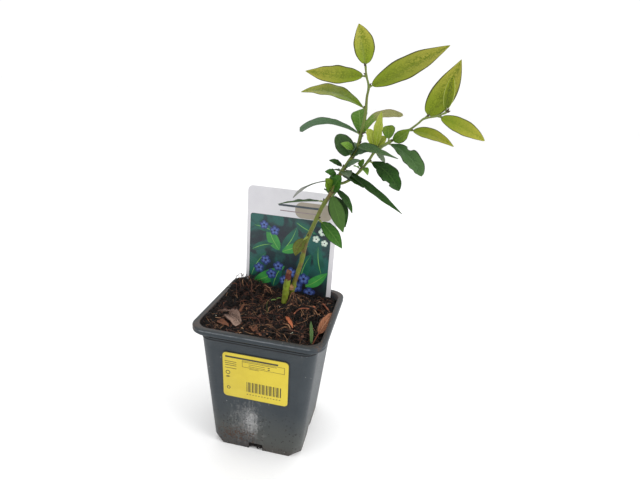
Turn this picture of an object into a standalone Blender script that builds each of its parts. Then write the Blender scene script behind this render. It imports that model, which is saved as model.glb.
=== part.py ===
# A young highbush blueberry in a square nursery pot of damp compost, with its picture card
# pushed in behind it. Sizes are in millimetres, scaled to metres when a mesh is finished.
# The origin is the middle of the pot's underside, -Y is the pot's front and +Z is up.

import math

import bpy
import bmesh
from mathutils import Matrix, Vector, noise

MM = 0.001
GAP = 0.3                    # clearance between solids that touch on the real plant

# The pot: a 9 cm square pot with a turned-over rim, a notch in the foot of each side
# and a slanted cut across each corner of the foot
POT_HEIGHT = 98.0
RIM_WIDTH = 90.0
RIM_DEPTH = 4.6
RIM_CORNER = 11.0
MOUTH_WIDTH = 82.0
SHOULDER_HEIGHT = 89.5
SHOULDER_WIDTH = 79.6
SHOULDER_CORNER = 9.5
BASE_WIDTH = 64.0
BASE_CORNER = 7.0
WALL = 1.2
FLOOR = 1.6
CORNER_STEPS = 4
NOTCH_WIDTH = 10.0
NOTCH_HEIGHT = 5.5
NOTCH_DEPTH = 1.3            # how far the notch runs on past the wall into the floor
FOOT_CUT_REACH = 39.6        # from the pot's axis to where the corner cut leaves the ground
FOOT_CUT_SLOPE = math.radians(60)

# The compost: nearly level with the rim, mounded at the stem and heaped behind it on the left
COMPOST_LEVEL = 94.4
STEM_MOUND = 96.7
STEM_MOUND_RADIUS = 10.0
COMPOST_RINGS = (0.88, 0.74, 0.6, 0.46, 0.32, 0.18)

# The picture card stands against the back wall, and the sticker is on the front face
CARD_WIDTH = 69.0
CARD_TOP = 176.4
CARD_FOOT = 86.0
CARD_THICKNESS = 0.7
CARD_BACK = 36.8
CARD_CORNER = 4.0
STICKER_WIDTH = 46.0
STICKER_HEIGHT = 37.0
STICKER_MIDDLE = 63.5
STICKER_THICKNESS = 0.4
STICKER_CORNER = 3.0

# Routes of the two shoots, by points that the growth passes through
LEADER_ROUTE = (
    (7.5, 16, 97), (9.8, 14.5, 111), (14.8, 13.5, 130.5), (17.5, 12, 146), (22, 11, 159),
    (27.5, 9, 173.5), (33, 7, 184), (38, 5, 197), (43, 3, 206), (47.5, 2, 213.5), (49, 1.5, 221),
    (50, 1, 228), (51, 0, 237), (51, -1, 246), (51.5, -2, 252), (49.5, -2, 258), (48.5, -1.5, 262.5),
)
SIDE_ROUTE = (
    (35.5, 6.2, 190.5), (41, 7, 192), (46.5, 6, 196), (52, 3, 203), (56, 0, 209), (59.5, -3, 215.5),
    (64, -6, 219.5), (69.5, -9, 223.5), (75.5, -12, 228), (82, -15, 234), (85.5, -16, 237.5),
    (92, -17.5, 239.5), (97, -18.5, 242),
)
STUMP_ROUTE = ((4.3, 11.5, 97), (5.2, 11.8, 110), (6, 12, 122.6))

# Thickness of the shoots, as (distance along the route, radius)
LEADER_TAPER = ((0, 2.3), (3, 1.9), (9, 1.85), (13, 2.3), (17, 1.8), (90, 1.5), (115, 1.2),
                (150, 0.95), (176, 0.8))
SIDE_TAPER = ((0, 0.95), (40, 0.8), (88, 0.6))
STUMP_TAPER = ((0, 2.3), (5, 2.05), (26, 2.0))
SPUR_RADIUS = 0.7
SPUR_LENGTH = 2.6

# A leaf blade is a grid of this many rows, folded along its midrib
LEAF_ROWS = 8
PETIOLE_LENGTH = 2.2
PETIOLE_WIDTH = 1.0
LEAF_TIP_WIDTH = 0.5
LEAF_THINNEST = 0.5
LEAF_THICKNESS_SHARE = 1 / 80
DROOP_POWER = 5              # how late along a drooping leaf its end turns down


def leaf(at, reach, width, bow=2, roll=0, twist=0, fold=14, belly=0.45, sway=0, droop=0,
         base=0.65, tip=1.0):
    """A leaf that leaves its shoot at a distance along it, and ends reach away from there.

    The blade is widest at its belly. A base or tip of 0.5 is round and one over 1 is drawn out.
    """
    return dict(at=at, reach=Vector(reach), width=width, bow=bow, roll=roll, twist=twist,
                fold=fold, belly=belly, sway=sway, droop=droop, base=base, tip=tip)


# The masses of foliage: each is a stretch of shoot, or a short spur, with its own leaves
FOLIAGE = {
    "foliage_fork": dict(leader=(88.8, 117.7), side=(0, 6), leader_leaves=(
        leaf(91.7, (7, -7, 13), 12, bow=1, roll=-100),
        leaf(91.7, (-3, -8, 11), 8, bow=1, roll=105),
        leaf(91.7, (12, -12, -22), 10, bow=0, roll=130, fold=6),
        leaf(91.7, (12, -3, -21), 13, bow=0, roll=-64, fold=5),
        leaf(95.9, (14, -2, -15), 6.5, bow=2, roll=-45),
        leaf(92.5, (-3, 25, -9), 12, bow=3, roll=10),
        leaf(101, (-31, 10, -17), 4.5, bow=4, roll=40),
        leaf(103.8, (-8, -6, 4), 5, bow=1, roll=60),
        leaf(106.4, (17, -10, -5), 6, bow=1, roll=-20),
        leaf(108.1, (-8, 8, -1), 5, bow=1),
        leaf(109.2, (6, -10, -2), 8, bow=1, roll=-10),
        leaf(110.6, (11.5, -12, 8.5), 4.5, bow=1, roll=-65),
        leaf(111.3, (-9, -6, 5), 4, bow=1, roll=60),
        leaf(111.3, (40, -16, -21), 6.5, bow=0.3, roll=-25, twist=-20, tip=1.2),
    )),
    "foliage_leader_middle": dict(leader=(118, 153), leader_leaves=(
        leaf(119.6, (14, -14, 8), 8, bow=2, roll=-50),
        leaf(119, (3.4, -5, 9), 5, bow=0.5, roll=150),
        leaf(124.2, (-8, -3, 4), 5, bow=1, roll=60, base=0.4),
        leaf(120.5, (-13, 12, 11.5), 11.5, bow=0.5, roll=50, belly=0.42, fold=8, base=0.45, tip=0.55),
        leaf(129.7, (26, -31, -2), 8.5, bow=0.5, roll=-50, twist=45, belly=0.3, sway=-3),
        leaf(126, (-14, 20, -5), 12, bow=3, roll=10),
        leaf(135.5, (-36, -5, 6.5), 7, bow=3.2, roll=40, belly=0.55, droop=5.5, tip=0.45),
        leaf(133.5, (-4, 14, 16), 11.5, bow=1, roll=30, belly=0.7, fold=8, base=0.9, tip=0.5),
        leaf(133.5, (24, 8, 15), 7, bow=7.5, roll=-95, twist=-40, belly=0.35, fold=6, base=0.5, tip=0.5),
        leaf(150.8, (-43, 10, 7), 15, bow=5, roll=26, belly=0.58, fold=8, base=1.0, tip=0.9),
    )),
    "foliage_leader_top": dict(leader=(162.1, 175.1), leader_leaves=(
        leaf(163.8, (43, 8, 26), 16, bow=0, roll=-50, fold=5, base=0.6),
        leaf(170.2, (-38, 6, 0.5), 12.5, bow=-0.7, roll=55, fold=5, base=0.6),
        leaf(174.6, (-6, -3, 23), 12.5, bow=1, roll=95, fold=6, base=0.55, tip=0.9),
    )),
    "foliage_side_inner": dict(side=(18.3, 32.6), side_leaves=(
        leaf(20.2, (1, 3, 7), 5, bow=1, roll=15),
        leaf(20.2, (-4, -4, 3), 4, bow=1),
        leaf(21.6, (5, -8, -2), 4, bow=2, roll=-20),
        leaf(29.5, (21, -8, -15), 11.5, bow=3, roll=-50, belly=0.5, fold=8, tip=0.8),
    )),
    "foliage_side_middle": dict(side=(32.9, 66), side_leaves=(
        leaf(36.7, (7, 8, -7), 4, bow=1, roll=-80),
        leaf(37.1, (-6, 2, 13), 7, bow=1, roll=30),
        leaf(38.6, (1, -2, 23), 6.5, bow=1, roll=-125, fold=6),
        leaf(39.6, (5, 1, 8), 6, bow=1, roll=-60),
        leaf(43, (-3, 24, -6), 12, bow=3),
        leaf(47.9, (22, -14, -15), 11, bow=3.5, roll=-30, belly=0.62, fold=10, base=0.9, tip=0.55),
        leaf(49, (-2, 8, 9), 8, bow=1, roll=15, belly=0.6, tip=0.6),
        leaf(50.5, (10, -12, 9), 7, bow=-1, roll=-117, fold=6),
        leaf(64, (25, -8, -6), 8.5, bow=1.8, roll=-40, belly=0.34, fold=8),
    )),
    "foliage_side_tip": dict(side=(73.3, 87.1), side_leaves=(
        leaf(75.2, (15, 10, 32), 14, bow=-1.7, roll=-50, belly=0.38, fold=6, base=0.45),
        leaf(82.1, (25, -12, -10), 9.5, bow=0.7, roll=-50, fold=8, base=0.6, tip=0.85),
        leaf(86.4, (1, -2, 17), 8, bow=1, roll=-115, fold=8, sway=1, base=0.5),
    )),
    "foliage_low_back": dict(spur=82.9, spur_leaves=(
        leaf(0, (-34, 12, -9), 7, bow=1, roll=0),
    )),
    "foliage_low_right": dict(spur=70.3, spur_leaves=(
        leaf(0, (18, -6, -16), 9.5, bow=1, roll=-50, fold=8),
    )),
    "foliage_low_left": dict(spur=55.1, spur_leaves=(
        leaf(0, (-6, -5, -13), 8, bow=2, roll=60),
    )),
}

# Bare stretches of shoot between the masses, as (route, start, end)
LIMBS = {
    "trunk": ("leader", 0, 88.5),
    "bough_leader_upper": ("leader", 153.3, 161.8),
    "bough_side_lower": ("side", 6.3, 18),
    "bough_side_upper": ("side", 66.3, 73),
}

COLOURS = {
    "pot": ((0.055, 0.061, 0.067), 0.55),
    "compost": ((0.022, 0.014, 0.010), 0.95),
    "label_card": ((0.62, 0.62, 0.64), 0.35),
    "sticker": ((0.78, 0.63, 0.04), 0.45),
    "bark": ((0.20, 0.19, 0.06), 0.6),
    "leaf": ((0.07, 0.16, 0.03), 0.5),
}


def clear_scene():
    for thing in list(bpy.data.objects):
        bpy.data.objects.remove(thing, do_unlink=True)


def make_collection(name):
    collection = bpy.data.collections.new(name)
    bpy.context.scene.collection.children.link(collection)
    return collection


def make_material(name):
    colour, roughness = COLOURS[name]
    material = bpy.data.materials.new(name)
    material.use_nodes = True
    shader = material.node_tree.nodes["Principled BSDF"]
    shader.inputs["Base Color"].default_value = (*colour, 1)
    shader.inputs["Roughness"].default_value = roughness
    shader.inputs["Metallic"].default_value = 0
    material.diffuse_color = (*colour, 1)
    return material


def finish(bm, name, material, collection):
    """Turns a bmesh in millimetres into a named object in metres."""
    bmesh.ops.scale(bm, vec=(MM, MM, MM), verts=bm.verts)
    bmesh.ops.recalc_face_normals(bm, faces=bm.faces)
    mesh = bpy.data.meshes.new(name)
    bm.to_mesh(mesh)
    bm.free()
    mesh.materials.append(material)
    thing = bpy.data.objects.new(name, mesh)
    collection.objects.link(thing)
    return thing


def evaluated_copy(thing):
    depsgraph = bpy.context.evaluated_depsgraph_get()
    return bpy.data.meshes.new_from_object(thing.evaluated_get(depsgraph))


def apply_modifiers(thing):
    mesh = evaluated_copy(thing)
    thing.modifiers.clear()
    thing.data = mesh


def hide_cutter(thing):
    thing.hide_render = True
    thing.display_type = "WIRE"


def cut(thing, cutter):
    boolean = thing.modifiers.new("cut " + cutter.name, "BOOLEAN")
    boolean.operation = "DIFFERENCE"
    boolean.object = cutter
    hide_cutter(cutter)


# Pot and compost

def rounded_square(half, corner):
    """The outline of a square with round corners, anticlockwise from above."""
    outline = []
    for quarter in range(4):
        middle = math.radians(45 + 90 * quarter)
        centre = Vector((math.copysign(half - corner, math.cos(middle)),
                         math.copysign(half - corner, math.sin(middle))))
        for step in range(CORNER_STEPS + 1):
            angle = math.radians(90 * quarter + 90 * step / CORNER_STEPS)
            outline.append(centre + corner * Vector((math.cos(angle), math.sin(angle))))
    return outline


def between(pairs, value):
    """Reads a value off a list of (position, value) pairs, in straight runs."""
    for (low, first), (high, last) in zip(pairs, pairs[1:]):
        if value <= high:
            share = max(0, (value - low) / (high - low))
            return first + (last - first) * share
    return pairs[-1][1]


def outer_half(z):
    return between(((0, BASE_WIDTH / 2), (SHOULDER_HEIGHT, SHOULDER_WIDTH / 2)), z)


def cavity_half(z):
    shoulder = SHOULDER_WIDTH / 2 - WALL
    return between(((0, BASE_WIDTH / 2 - WALL), (SHOULDER_HEIGHT, shoulder),
                    (POT_HEIGHT - 1, MOUTH_WIDTH / 2)), z)


def corner_radius(z):
    return between(((0, BASE_CORNER), (SHOULDER_HEIGHT, SHOULDER_CORNER),
                    (POT_HEIGHT - RIM_DEPTH, RIM_CORNER)), z)


def loft(rings):
    """A closed body through rings that all have the same number of points."""
    bm = bmesh.new()
    loops = [[bm.verts.new(point) for point in ring] for ring in rings]
    count = len(loops[0])
    for lower, upper in zip(loops, loops[1:]):
        for i in range(count):
            j = (i + 1) % count
            bm.faces.new((lower[i], lower[j], upper[j], upper[i]))
    bm.faces.new(reversed(loops[0]))
    bm.faces.new(loops[-1])
    return bm


def level_ring(half, corner, z):
    return [Vector((point.x, point.y, z)) for point in rounded_square(half, corner)]


def slice_foot_corners(bm, inset):
    """Cuts the four corners of the foot away on a slant, a wall's thickness further in."""
    for turn in range(4):
        angle = math.radians(45 + 90 * turn)
        outward = Vector((math.cos(angle), math.sin(angle), 0))
        normal = outward * math.sin(FOOT_CUT_SLOPE) - Vector((0, 0, math.cos(FOOT_CUT_SLOPE)))
        point = outward * FOOT_CUT_REACH - normal * inset
        everything = bm.verts[:] + bm.edges[:] + bm.faces[:]
        bmesh.ops.bisect_plane(bm, geom=everything, plane_co=point, plane_no=normal, clear_outer=True)
        rim = [edge for edge in bm.edges if edge.is_boundary]
        bmesh.ops.holes_fill(bm, edges=rim)


def make_pot(material, collection, cutters):
    lip = POT_HEIGHT - RIM_DEPTH
    collar = ((SHOULDER_HEIGHT, SHOULDER_WIDTH / 2), (lip - 2.2, 40.7), (lip - 0.9, 42.2),
              (lip, 44.3), (lip + 0.5, RIM_WIDTH / 2 - 0.2), (POT_HEIGHT - 0.5, RIM_WIDTH / 2),
              (POT_HEIGHT, RIM_WIDTH / 2 - 0.5))
    rings = [level_ring(outer_half(0), BASE_CORNER, 0)]
    rings += [level_ring(half, corner_radius(z), z) for z, half in collar]
    outside = loft(rings)
    slice_foot_corners(outside, 0)
    pot = finish(outside, "pot", material, collection)

    above = POT_HEIGHT + 1
    levels = (FLOOR, SHOULDER_HEIGHT, POT_HEIGHT - 1, above)
    cavity = loft([level_ring(cavity_half(z), corner_radius(z) - WALL, z) for z in levels])
    slice_foot_corners(cavity, WALL)
    cut(pot, finish(cavity, "pot_cavity", material, cutters))

    notches = bmesh.new()
    inner = BASE_WIDTH / 2 - WALL - NOTCH_DEPTH
    depth = BASE_WIDTH / 2 + 2 - inner
    for turn in range(4):
        place = (Matrix.Rotation(math.radians(90 * turn), 4, "Z")
                 @ Matrix.Translation((0, inner + depth / 2, NOTCH_HEIGHT / 2 - 1))
                 @ Matrix.Diagonal((NOTCH_WIDTH, depth, NOTCH_HEIGHT + 2, 1)))
        bmesh.ops.create_cube(notches, size=1, matrix=place)
    cut(pot, finish(notches, "pot_notches", material, cutters))
    apply_modifiers(pot)


def compost_height(x, y):
    """Height of the compost's surface: a mound at the stem, a heap at the back left,
    a dip at the front right and lumps all over, but flat where the stems stand."""
    heap = 3.2 * math.exp(-((x + 26) ** 2 + (y - 26) ** 2) / 260)
    dip = 3.0 * math.exp(-((x - 36) ** 2 + (y + 34) ** 2) / 420)
    lumps = 1.1 * noise.noise(Vector((x / 9, y / 9, 3.7)))
    rolling = COMPOST_LEVEL + heap - dip + lumps
    distance = math.hypot(x - 6, y - 13.5)
    share = min(1, max(0, (distance - STEM_MOUND_RADIUS) / 14))
    share = share * share * (3 - 2 * share)
    return STEM_MOUND + (rolling - STEM_MOUND) * share


def make_compost(material, collection, cutters):
    lowest = FLOOR + GAP
    rings = [level_ring(cavity_half(z) - GAP, corner_radius(z) - WALL - GAP, z)
             for z in (lowest, SHOULDER_HEIGHT)]
    mouth = MOUTH_WIDTH / 2 - GAP
    edge = []
    for point in rounded_square(mouth, RIM_CORNER - WALL - GAP):
        z = compost_height(point.x, point.y)
        shrink = (cavity_half(z) - GAP) / mouth
        edge.append(Vector((point.x * shrink, point.y * shrink, z)))
    rings.append(edge)
    for share in COMPOST_RINGS:
        ring = [Vector((point.x * share, point.y * share)) for point in edge]
        rings.append([Vector((p.x, p.y, compost_height(p.x, p.y))) for p in ring])
    body = loft(rings)
    slice_foot_corners(body, WALL + GAP)
    compost = finish(body, "compost", material, collection)

    slot = bmesh.new()
    front = CARD_BACK - CARD_THICKNESS - GAP
    depth = RIM_WIDTH / 2 - front
    height = 40
    bmesh.ops.create_cube(slot, size=1, matrix=(
        Matrix.Translation((0, front + depth / 2, CARD_FOOT - GAP + height / 2))
        @ Matrix.Diagonal((CARD_WIDTH + 2 * GAP, depth, height, 1))))
    cut(compost, finish(slot, "card_slot", material, cutters))
    apply_modifiers(compost)


# Card and sticker

def rounded_plate(width, height, thickness, corner, round_foot):
    """A thin upright plate facing -Y, with round corners at the top or all round."""
    bm = bmesh.new()
    bmesh.ops.create_cube(bm, size=1, matrix=Matrix.Diagonal((width, thickness, height, 1)))
    corners = []
    for edge in bm.edges:
        low, high = edge.verts
        along_y = abs(low.co.y - high.co.y) > thickness / 2
        if along_y and (round_foot or low.co.z > 0):
            corners.append(edge)
    bmesh.ops.bevel(bm, geom=corners, offset=corner, offset_type="OFFSET", segments=4,
                    profile=0.5, affect="EDGES")
    return bm


def make_card(material, collection):
    height = CARD_TOP - CARD_FOOT
    card = rounded_plate(CARD_WIDTH, height, CARD_THICKNESS, CARD_CORNER, False)
    place = Vector((0, CARD_BACK - CARD_THICKNESS / 2, CARD_FOOT + height / 2))
    bmesh.ops.translate(card, vec=place, verts=card.verts)
    finish(card, "label_card", material, collection)


def make_sticker(material, collection):
    sticker = rounded_plate(STICKER_WIDTH, STICKER_HEIGHT, STICKER_THICKNESS, STICKER_CORNER, True)
    slope = math.atan2((SHOULDER_WIDTH - BASE_WIDTH) / 2, SHOULDER_HEIGHT)
    bmesh.ops.rotate(sticker, cent=(0, 0, 0), verts=sticker.verts,
                     matrix=Matrix.Rotation(slope, 3, "X"))
    stand_off = (GAP + STICKER_THICKNESS / 2) / math.cos(slope)
    place = Vector((0, -outer_half(STICKER_MIDDLE) - stand_off, STICKER_MIDDLE))
    bmesh.ops.translate(sticker, vec=place, verts=sticker.verts)
    finish(sticker, "sticker", material, collection)


# Shoots

def smooth_route(points, steps=16):
    """A smooth curve through the points, as closely spaced (distance, place) pairs."""
    knots = [Vector(point) for point in points]
    knots = [2 * knots[0] - knots[1]] + knots + [2 * knots[-1] - knots[-2]]
    places = []
    for a, b, c, d in zip(knots, knots[1:], knots[2:], knots[3:]):
        for step in range(steps):
            t = step / steps
            places.append(0.5 * (2 * b + (c - a) * t + (2 * a - 5 * b + 4 * c - d) * t * t
                                 + (3 * b - a - 3 * c + d) * t ** 3))
    places.append(knots[-2])
    route = [(0.0, places[0])]
    for place in places[1:]:
        distance, last = route[-1]
        route.append((distance + (place - last).length, place))
    return route


def place_along(route, distance):
    return between(route, distance)


def direction_along(route, distance):
    return (place_along(route, distance + 1) - place_along(route, distance - 1)).normalized()


def stretch_of(route, start, end, spacing=2.4):
    count = max(2, math.ceil((end - start) / spacing))
    return [start + (end - start) * i / count for i in range(count + 1)]


def make_tube(name, places, radii, material, collection, roundness=1):
    """A tapering tube through the places, with closed flat ends."""
    curve = bpy.data.curves.new(name, "CURVE")
    curve.dimensions = "3D"
    curve.bevel_depth = MM
    curve.bevel_resolution = roundness
    curve.use_fill_caps = True
    spline = curve.splines.new("POLY")
    spline.points.add(len(places) - 1)
    for point, place, radius in zip(spline.points, places, radii):
        point.co = (*(place * MM), 1)
        point.radius = radius
    guide = bpy.data.objects.new(name + "_curve", curve)
    collection.objects.link(guide)
    mesh = evaluated_copy(guide)
    bm = bmesh.new()
    bm.from_mesh(mesh)
    bmesh.ops.remove_doubles(bm, verts=bm.verts, dist=0.00001)
    bm.to_mesh(mesh)
    bm.free()
    mesh.name = name
    mesh.materials.clear()
    mesh.materials.append(material)
    tube = bpy.data.objects.new(name, mesh)
    tube.matrix_world = guide.matrix_world
    collection.objects.link(tube)
    bpy.data.objects.remove(guide, do_unlink=True)
    bpy.data.curves.remove(curve)
    return tube


def make_limb(name, route, taper, start, end, material, collection, roundness=1):
    distances = stretch_of(route, start, end)
    places = [place_along(route, distance) for distance in distances]
    radii = [between(taper, distance) for distance in distances]
    limb = make_tube(name, places, radii, material, collection, roundness)
    if start == 0:
        level_foot(limb, places[0], radii[0])
    return limb


def level_foot(limb, foot, radius):
    """Makes the cut at the foot of a stem level with the ground."""
    for vertex in limb.data.vertices:
        if (vertex.co / MM - foot).length < radius * 1.05:
            vertex.co.z = foot.z * MM


# Leaves

def leaf_width(leaf_, share):
    """Full width of the blade at a share of its length."""
    belly = leaf_["belly"]
    if share < belly:
        swell = math.sin(math.pi / 2 * share / belly) ** leaf_["base"]
    else:
        swell = max(0, math.cos(math.pi / 2 * (share - belly) / (1 - belly))) ** leaf_["tip"]
    narrowest = PETIOLE_WIDTH + (LEAF_TIP_WIDTH - PETIOLE_WIDTH) * share
    return narrowest + (leaf_["width"] - narrowest) * swell


def make_leaf(name, root, leaf_, material, collection):
    """A folded, bowed blade: a grid laid along a curve and given its thickness."""
    reach = leaf_["reach"]
    length = reach.length
    along = reach.normalized()
    upward = Vector((0, 0, 1))
    rise = (upward - upward.dot(along) * along).normalized()
    sideways = rise.cross(along)
    middle = root + reach / 2 + 2 * leaf_["bow"] * rise + 2 * leaf_["sway"] * sideways
    tip = root + reach
    stalk = PETIOLE_LENGTH / length
    fold = math.radians(leaf_["fold"])

    bm = bmesh.new()
    bmesh.ops.create_grid(bm, x_segments=2, y_segments=LEAF_ROWS, size=0.5)
    for vertex in bm.verts:
        row = round((vertex.co.y + 0.5) * LEAF_ROWS)
        side = round(2 * vertex.co.x)
        blade = max(0, (row - 1) / (LEAF_ROWS - 1))
        share = 0 if row == 0 else stalk + (1 - stalk) * blade
        centre = root * (1 - share) ** 2 + middle * 2 * share * (1 - share) + tip * share ** 2
        centre -= rise * leaf_["droop"] * share ** DROOP_POWER
        heading = 2 * ((middle - root) * (1 - share) + (tip - middle) * share)
        heading -= rise * leaf_["droop"] * DROOP_POWER * share ** (DROOP_POWER - 1)
        heading.normalize()
        face = (rise - rise.dot(heading) * heading).normalized()
        turn = math.radians(leaf_["roll"] + leaf_["twist"] * share)
        face.rotate(Matrix.Rotation(-turn, 3, heading))
        across = face.cross(heading)
        half = leaf_width(leaf_, blade) / 2
        lift = half * math.sin(fold) * abs(side)
        vertex.co = centre + across * half * math.cos(fold) * side + face * lift
    bm.normal_update()
    thickness = max(LEAF_THINNEST, length * LEAF_THICKNESS_SHARE)
    bmesh.ops.solidify(bm, geom=bm.faces[:], thickness=thickness)
    return finish(bm, name, material, collection)


def make_spur(name, route, taper, at, reach, material, collection):
    """A short stalk that starts just clear of the stem's side, towards the leaf's reach."""
    stem = direction_along(route, at)
    outward = (reach - reach.dot(stem) * stem).normalized()
    start = place_along(route, at) + outward * (between(taper, at) + GAP)
    bend = (outward * 2 + reach.normalized()).normalized()
    places = [start, start + outward * 0.5, start + outward * 0.5 + bend * SPUR_LENGTH]
    make_tube(name, places, [SPUR_RADIUS] * 3, material, collection)
    return places[1]


def fuse(name, pieces, material, collection):
    """Joins a mass's stem and leaves into one closed body and removes the pieces."""
    body, *others = pieces
    helpers = make_collection(name + "_pieces")
    for piece in others:
        collection.objects.unlink(piece)
        helpers.objects.link(piece)
    union = body.modifiers.new("fuse leaves", "BOOLEAN")
    union.operation = "UNION"
    union.operand_type = "COLLECTION"
    union.collection = helpers
    apply_modifiers(body)
    for piece in others:
        bpy.data.objects.remove(piece, do_unlink=True)
    bpy.data.collections.remove(helpers)
    body.name = name
    body.data.name = name
    body.data.materials.clear()
    body.data.materials.append(material)
    drop_scraps(body)


def drop_scraps(thing):
    """Keeps the largest connected piece of a mesh."""
    bm = bmesh.new()
    bm.from_mesh(thing.data)
    islands = []
    waiting = set(bm.faces)
    while waiting:
        front = [waiting.pop()]
        island = list(front)
        while front:
            face = front.pop()
            for edge in face.edges:
                for neighbour in edge.link_faces:
                    if neighbour in waiting:
                        waiting.remove(neighbour)
                        front.append(neighbour)
                        island.append(neighbour)
        islands.append(island)
    islands.sort(key=len)
    for island in islands[:-1]:
        bmesh.ops.delete(bm, geom=island, context="FACES")
    bm.to_mesh(thing.data)
    bm.free()


def make_mass(name, mass, routes, tapers, materials, collection):
    pieces = []
    roots = []
    for shoot, route in routes.items():
        if shoot in mass:
            start, end = mass[shoot]
            # a shoot that starts at the fork begins inside the leader
            pieces.append(make_limb(name + "_" + shoot, route, tapers[shoot], start, end,
                                    materials["leaf"], collection))
        for blade in mass.get(shoot + "_leaves", ()):
            roots.append((place_along(route, blade["at"]), blade))
    for blade in mass.get("spur_leaves", ()):
        root = make_spur(name + "_spur", routes["leader"], tapers["leader"], mass["spur"],
                         blade["reach"], materials["leaf"], collection)
        pieces.append(bpy.data.objects[name + "_spur"])
        roots.append((root, blade))
    for number, (root, blade) in enumerate(roots):
        leaf_name = f"{name}_leaf_{number}"
        pieces.append(make_leaf(leaf_name, root, blade, materials["leaf"], collection))
    fuse(name, pieces, materials["leaf"], collection)


def main():
    clear_scene()
    parts = make_collection("potted_blueberry")
    cutters = make_collection("cutters")
    materials = {name: make_material(name) for name in COLOURS}
    routes = {"leader": smooth_route(LEADER_ROUTE), "side": smooth_route(SIDE_ROUTE)}
    tapers = {"leader": LEADER_TAPER, "side": SIDE_TAPER}

    make_pot(materials["pot"], parts, cutters)
    make_compost(materials["compost"], parts, cutters)
    make_card(materials["label_card"], parts)
    make_sticker(materials["sticker"], parts)
    make_limb("stump", smooth_route(STUMP_ROUTE), STUMP_TAPER, 0, 25.6,
              materials["bark"], parts, roundness=2)
    for name, (shoot, start, end) in LIMBS.items():
        make_limb(name, routes[shoot], tapers[shoot], start, end, materials["bark"], parts,
                  roundness=2 if name == "trunk" else 1)
    for name, mass in FOLIAGE.items():
        make_mass(name, mass, routes, tapers, materials, parts)


main()
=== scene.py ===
import math
import random

import bpy
import bmesh
from mathutils import Matrix, Vector, noise


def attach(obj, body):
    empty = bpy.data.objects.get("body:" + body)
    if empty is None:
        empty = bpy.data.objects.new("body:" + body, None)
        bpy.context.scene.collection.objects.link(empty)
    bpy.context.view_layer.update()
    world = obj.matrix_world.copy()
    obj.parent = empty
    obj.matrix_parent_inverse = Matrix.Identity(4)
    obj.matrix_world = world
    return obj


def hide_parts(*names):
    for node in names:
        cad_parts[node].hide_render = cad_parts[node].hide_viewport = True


# Looks of the young blueberry in its square nursery pot. Lengths are in millimetres until a
# piece is finished, when they are scaled to metres.
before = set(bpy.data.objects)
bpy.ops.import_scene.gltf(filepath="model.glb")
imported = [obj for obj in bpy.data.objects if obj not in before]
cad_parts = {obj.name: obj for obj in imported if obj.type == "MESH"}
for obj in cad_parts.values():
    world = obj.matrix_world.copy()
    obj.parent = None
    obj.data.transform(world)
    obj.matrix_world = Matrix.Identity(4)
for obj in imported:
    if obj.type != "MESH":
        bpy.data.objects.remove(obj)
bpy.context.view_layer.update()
mm = 0.001
weld = 0.0005  # vertices closer than this become one
fullTurn = 2 * math.pi
up = Vector((0, 0, 1))
print("frame loaded:", len(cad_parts), "nodes")


# Small helpers

def paint(colour):  # screen colour, 0 to 255, as the shader wants it
    return (*[((c / 255 + 0.055) / 1.055) ** 2.4 if c > 10 else c / 3294.6 for c in colour], 1)


def meshFrom(bm, name):
    mesh = bpy.data.meshes.new(name)
    bm.to_mesh(mesh)
    bm.free()
    return mesh


def newObject(name, data):
    made = bpy.data.objects.new(name, data)
    bpy.context.scene.collection.objects.link(made)
    return made


# Vector noise, which crumples the dead leaves, starts from the clock unless it has a seed.
noise.seed_set(5)


# Leaves keep the facing they grow with.
def finishPiece(bm, name, materials, replaced=(), sharpAngle=None, turnOut=True):
    if turnOut:
        bmesh.ops.recalc_face_normals(bm, faces=bm.faces)
    bmesh.ops.scale(bm, vec=(mm, mm, mm), verts=bm.verts)
    mesh = meshFrom(bm, name)
    for material in materials:
        mesh.materials.append(material)
    mesh.shade_smooth()
    if sharpAngle:
        mesh.set_sharp_from_angle(angle=math.radians(sharpAngle))
    piece = newObject(name, mesh)
    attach(piece, "root")
    if replaced:
        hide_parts(*replaced)
    return piece


def between(pairs, value):  # reads a value off (position, value) pairs
    for (low, first), (high, last) in zip(pairs, pairs[1:]):
        if value <= high:
            return first + (last - first) * max(0, (value - low) / (high - low))
    return pairs[-1][1]


def smoothStep(value, low, high):
    share = min(1, max(0, (value - low) / (high - low)))
    return share * share * (3 - 2 * share)


def turnAbout(axis, degrees, size=3):
    return Matrix.Rotation(math.radians(degrees), size, axis)


def vertsOf(items):
    return [item for item in items if isinstance(item, bmesh.types.BMVert)]


def openEdges(bm):
    return [edge for edge in bm.edges if edge.is_boundary]


def tint(verts, index):  # gives the faces at these vertices their material
    faces = {face for vertex in verts if vertex.is_valid for face in vertex.link_faces}
    for face in faces:
        face.material_index = index
    return faces


# A grid whose every vertex goes where place(column, row) says.
def placeGrid(bm, columns, rows, place, uvLayer=None):
    made = bmesh.ops.create_grid(bm, x_segments=columns, y_segments=rows, size=0.5)["verts"]
    for vertex in made:
        column = round((vertex.co.x + 0.5) * columns)
        row = round((vertex.co.y + 0.5) * rows)
        if uvLayer:
            for loop in vertex.link_loops:
                loop[uvLayer].uv = (column / columns, row / rows)
        vertex.co = place(column, row)
    return made


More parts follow.
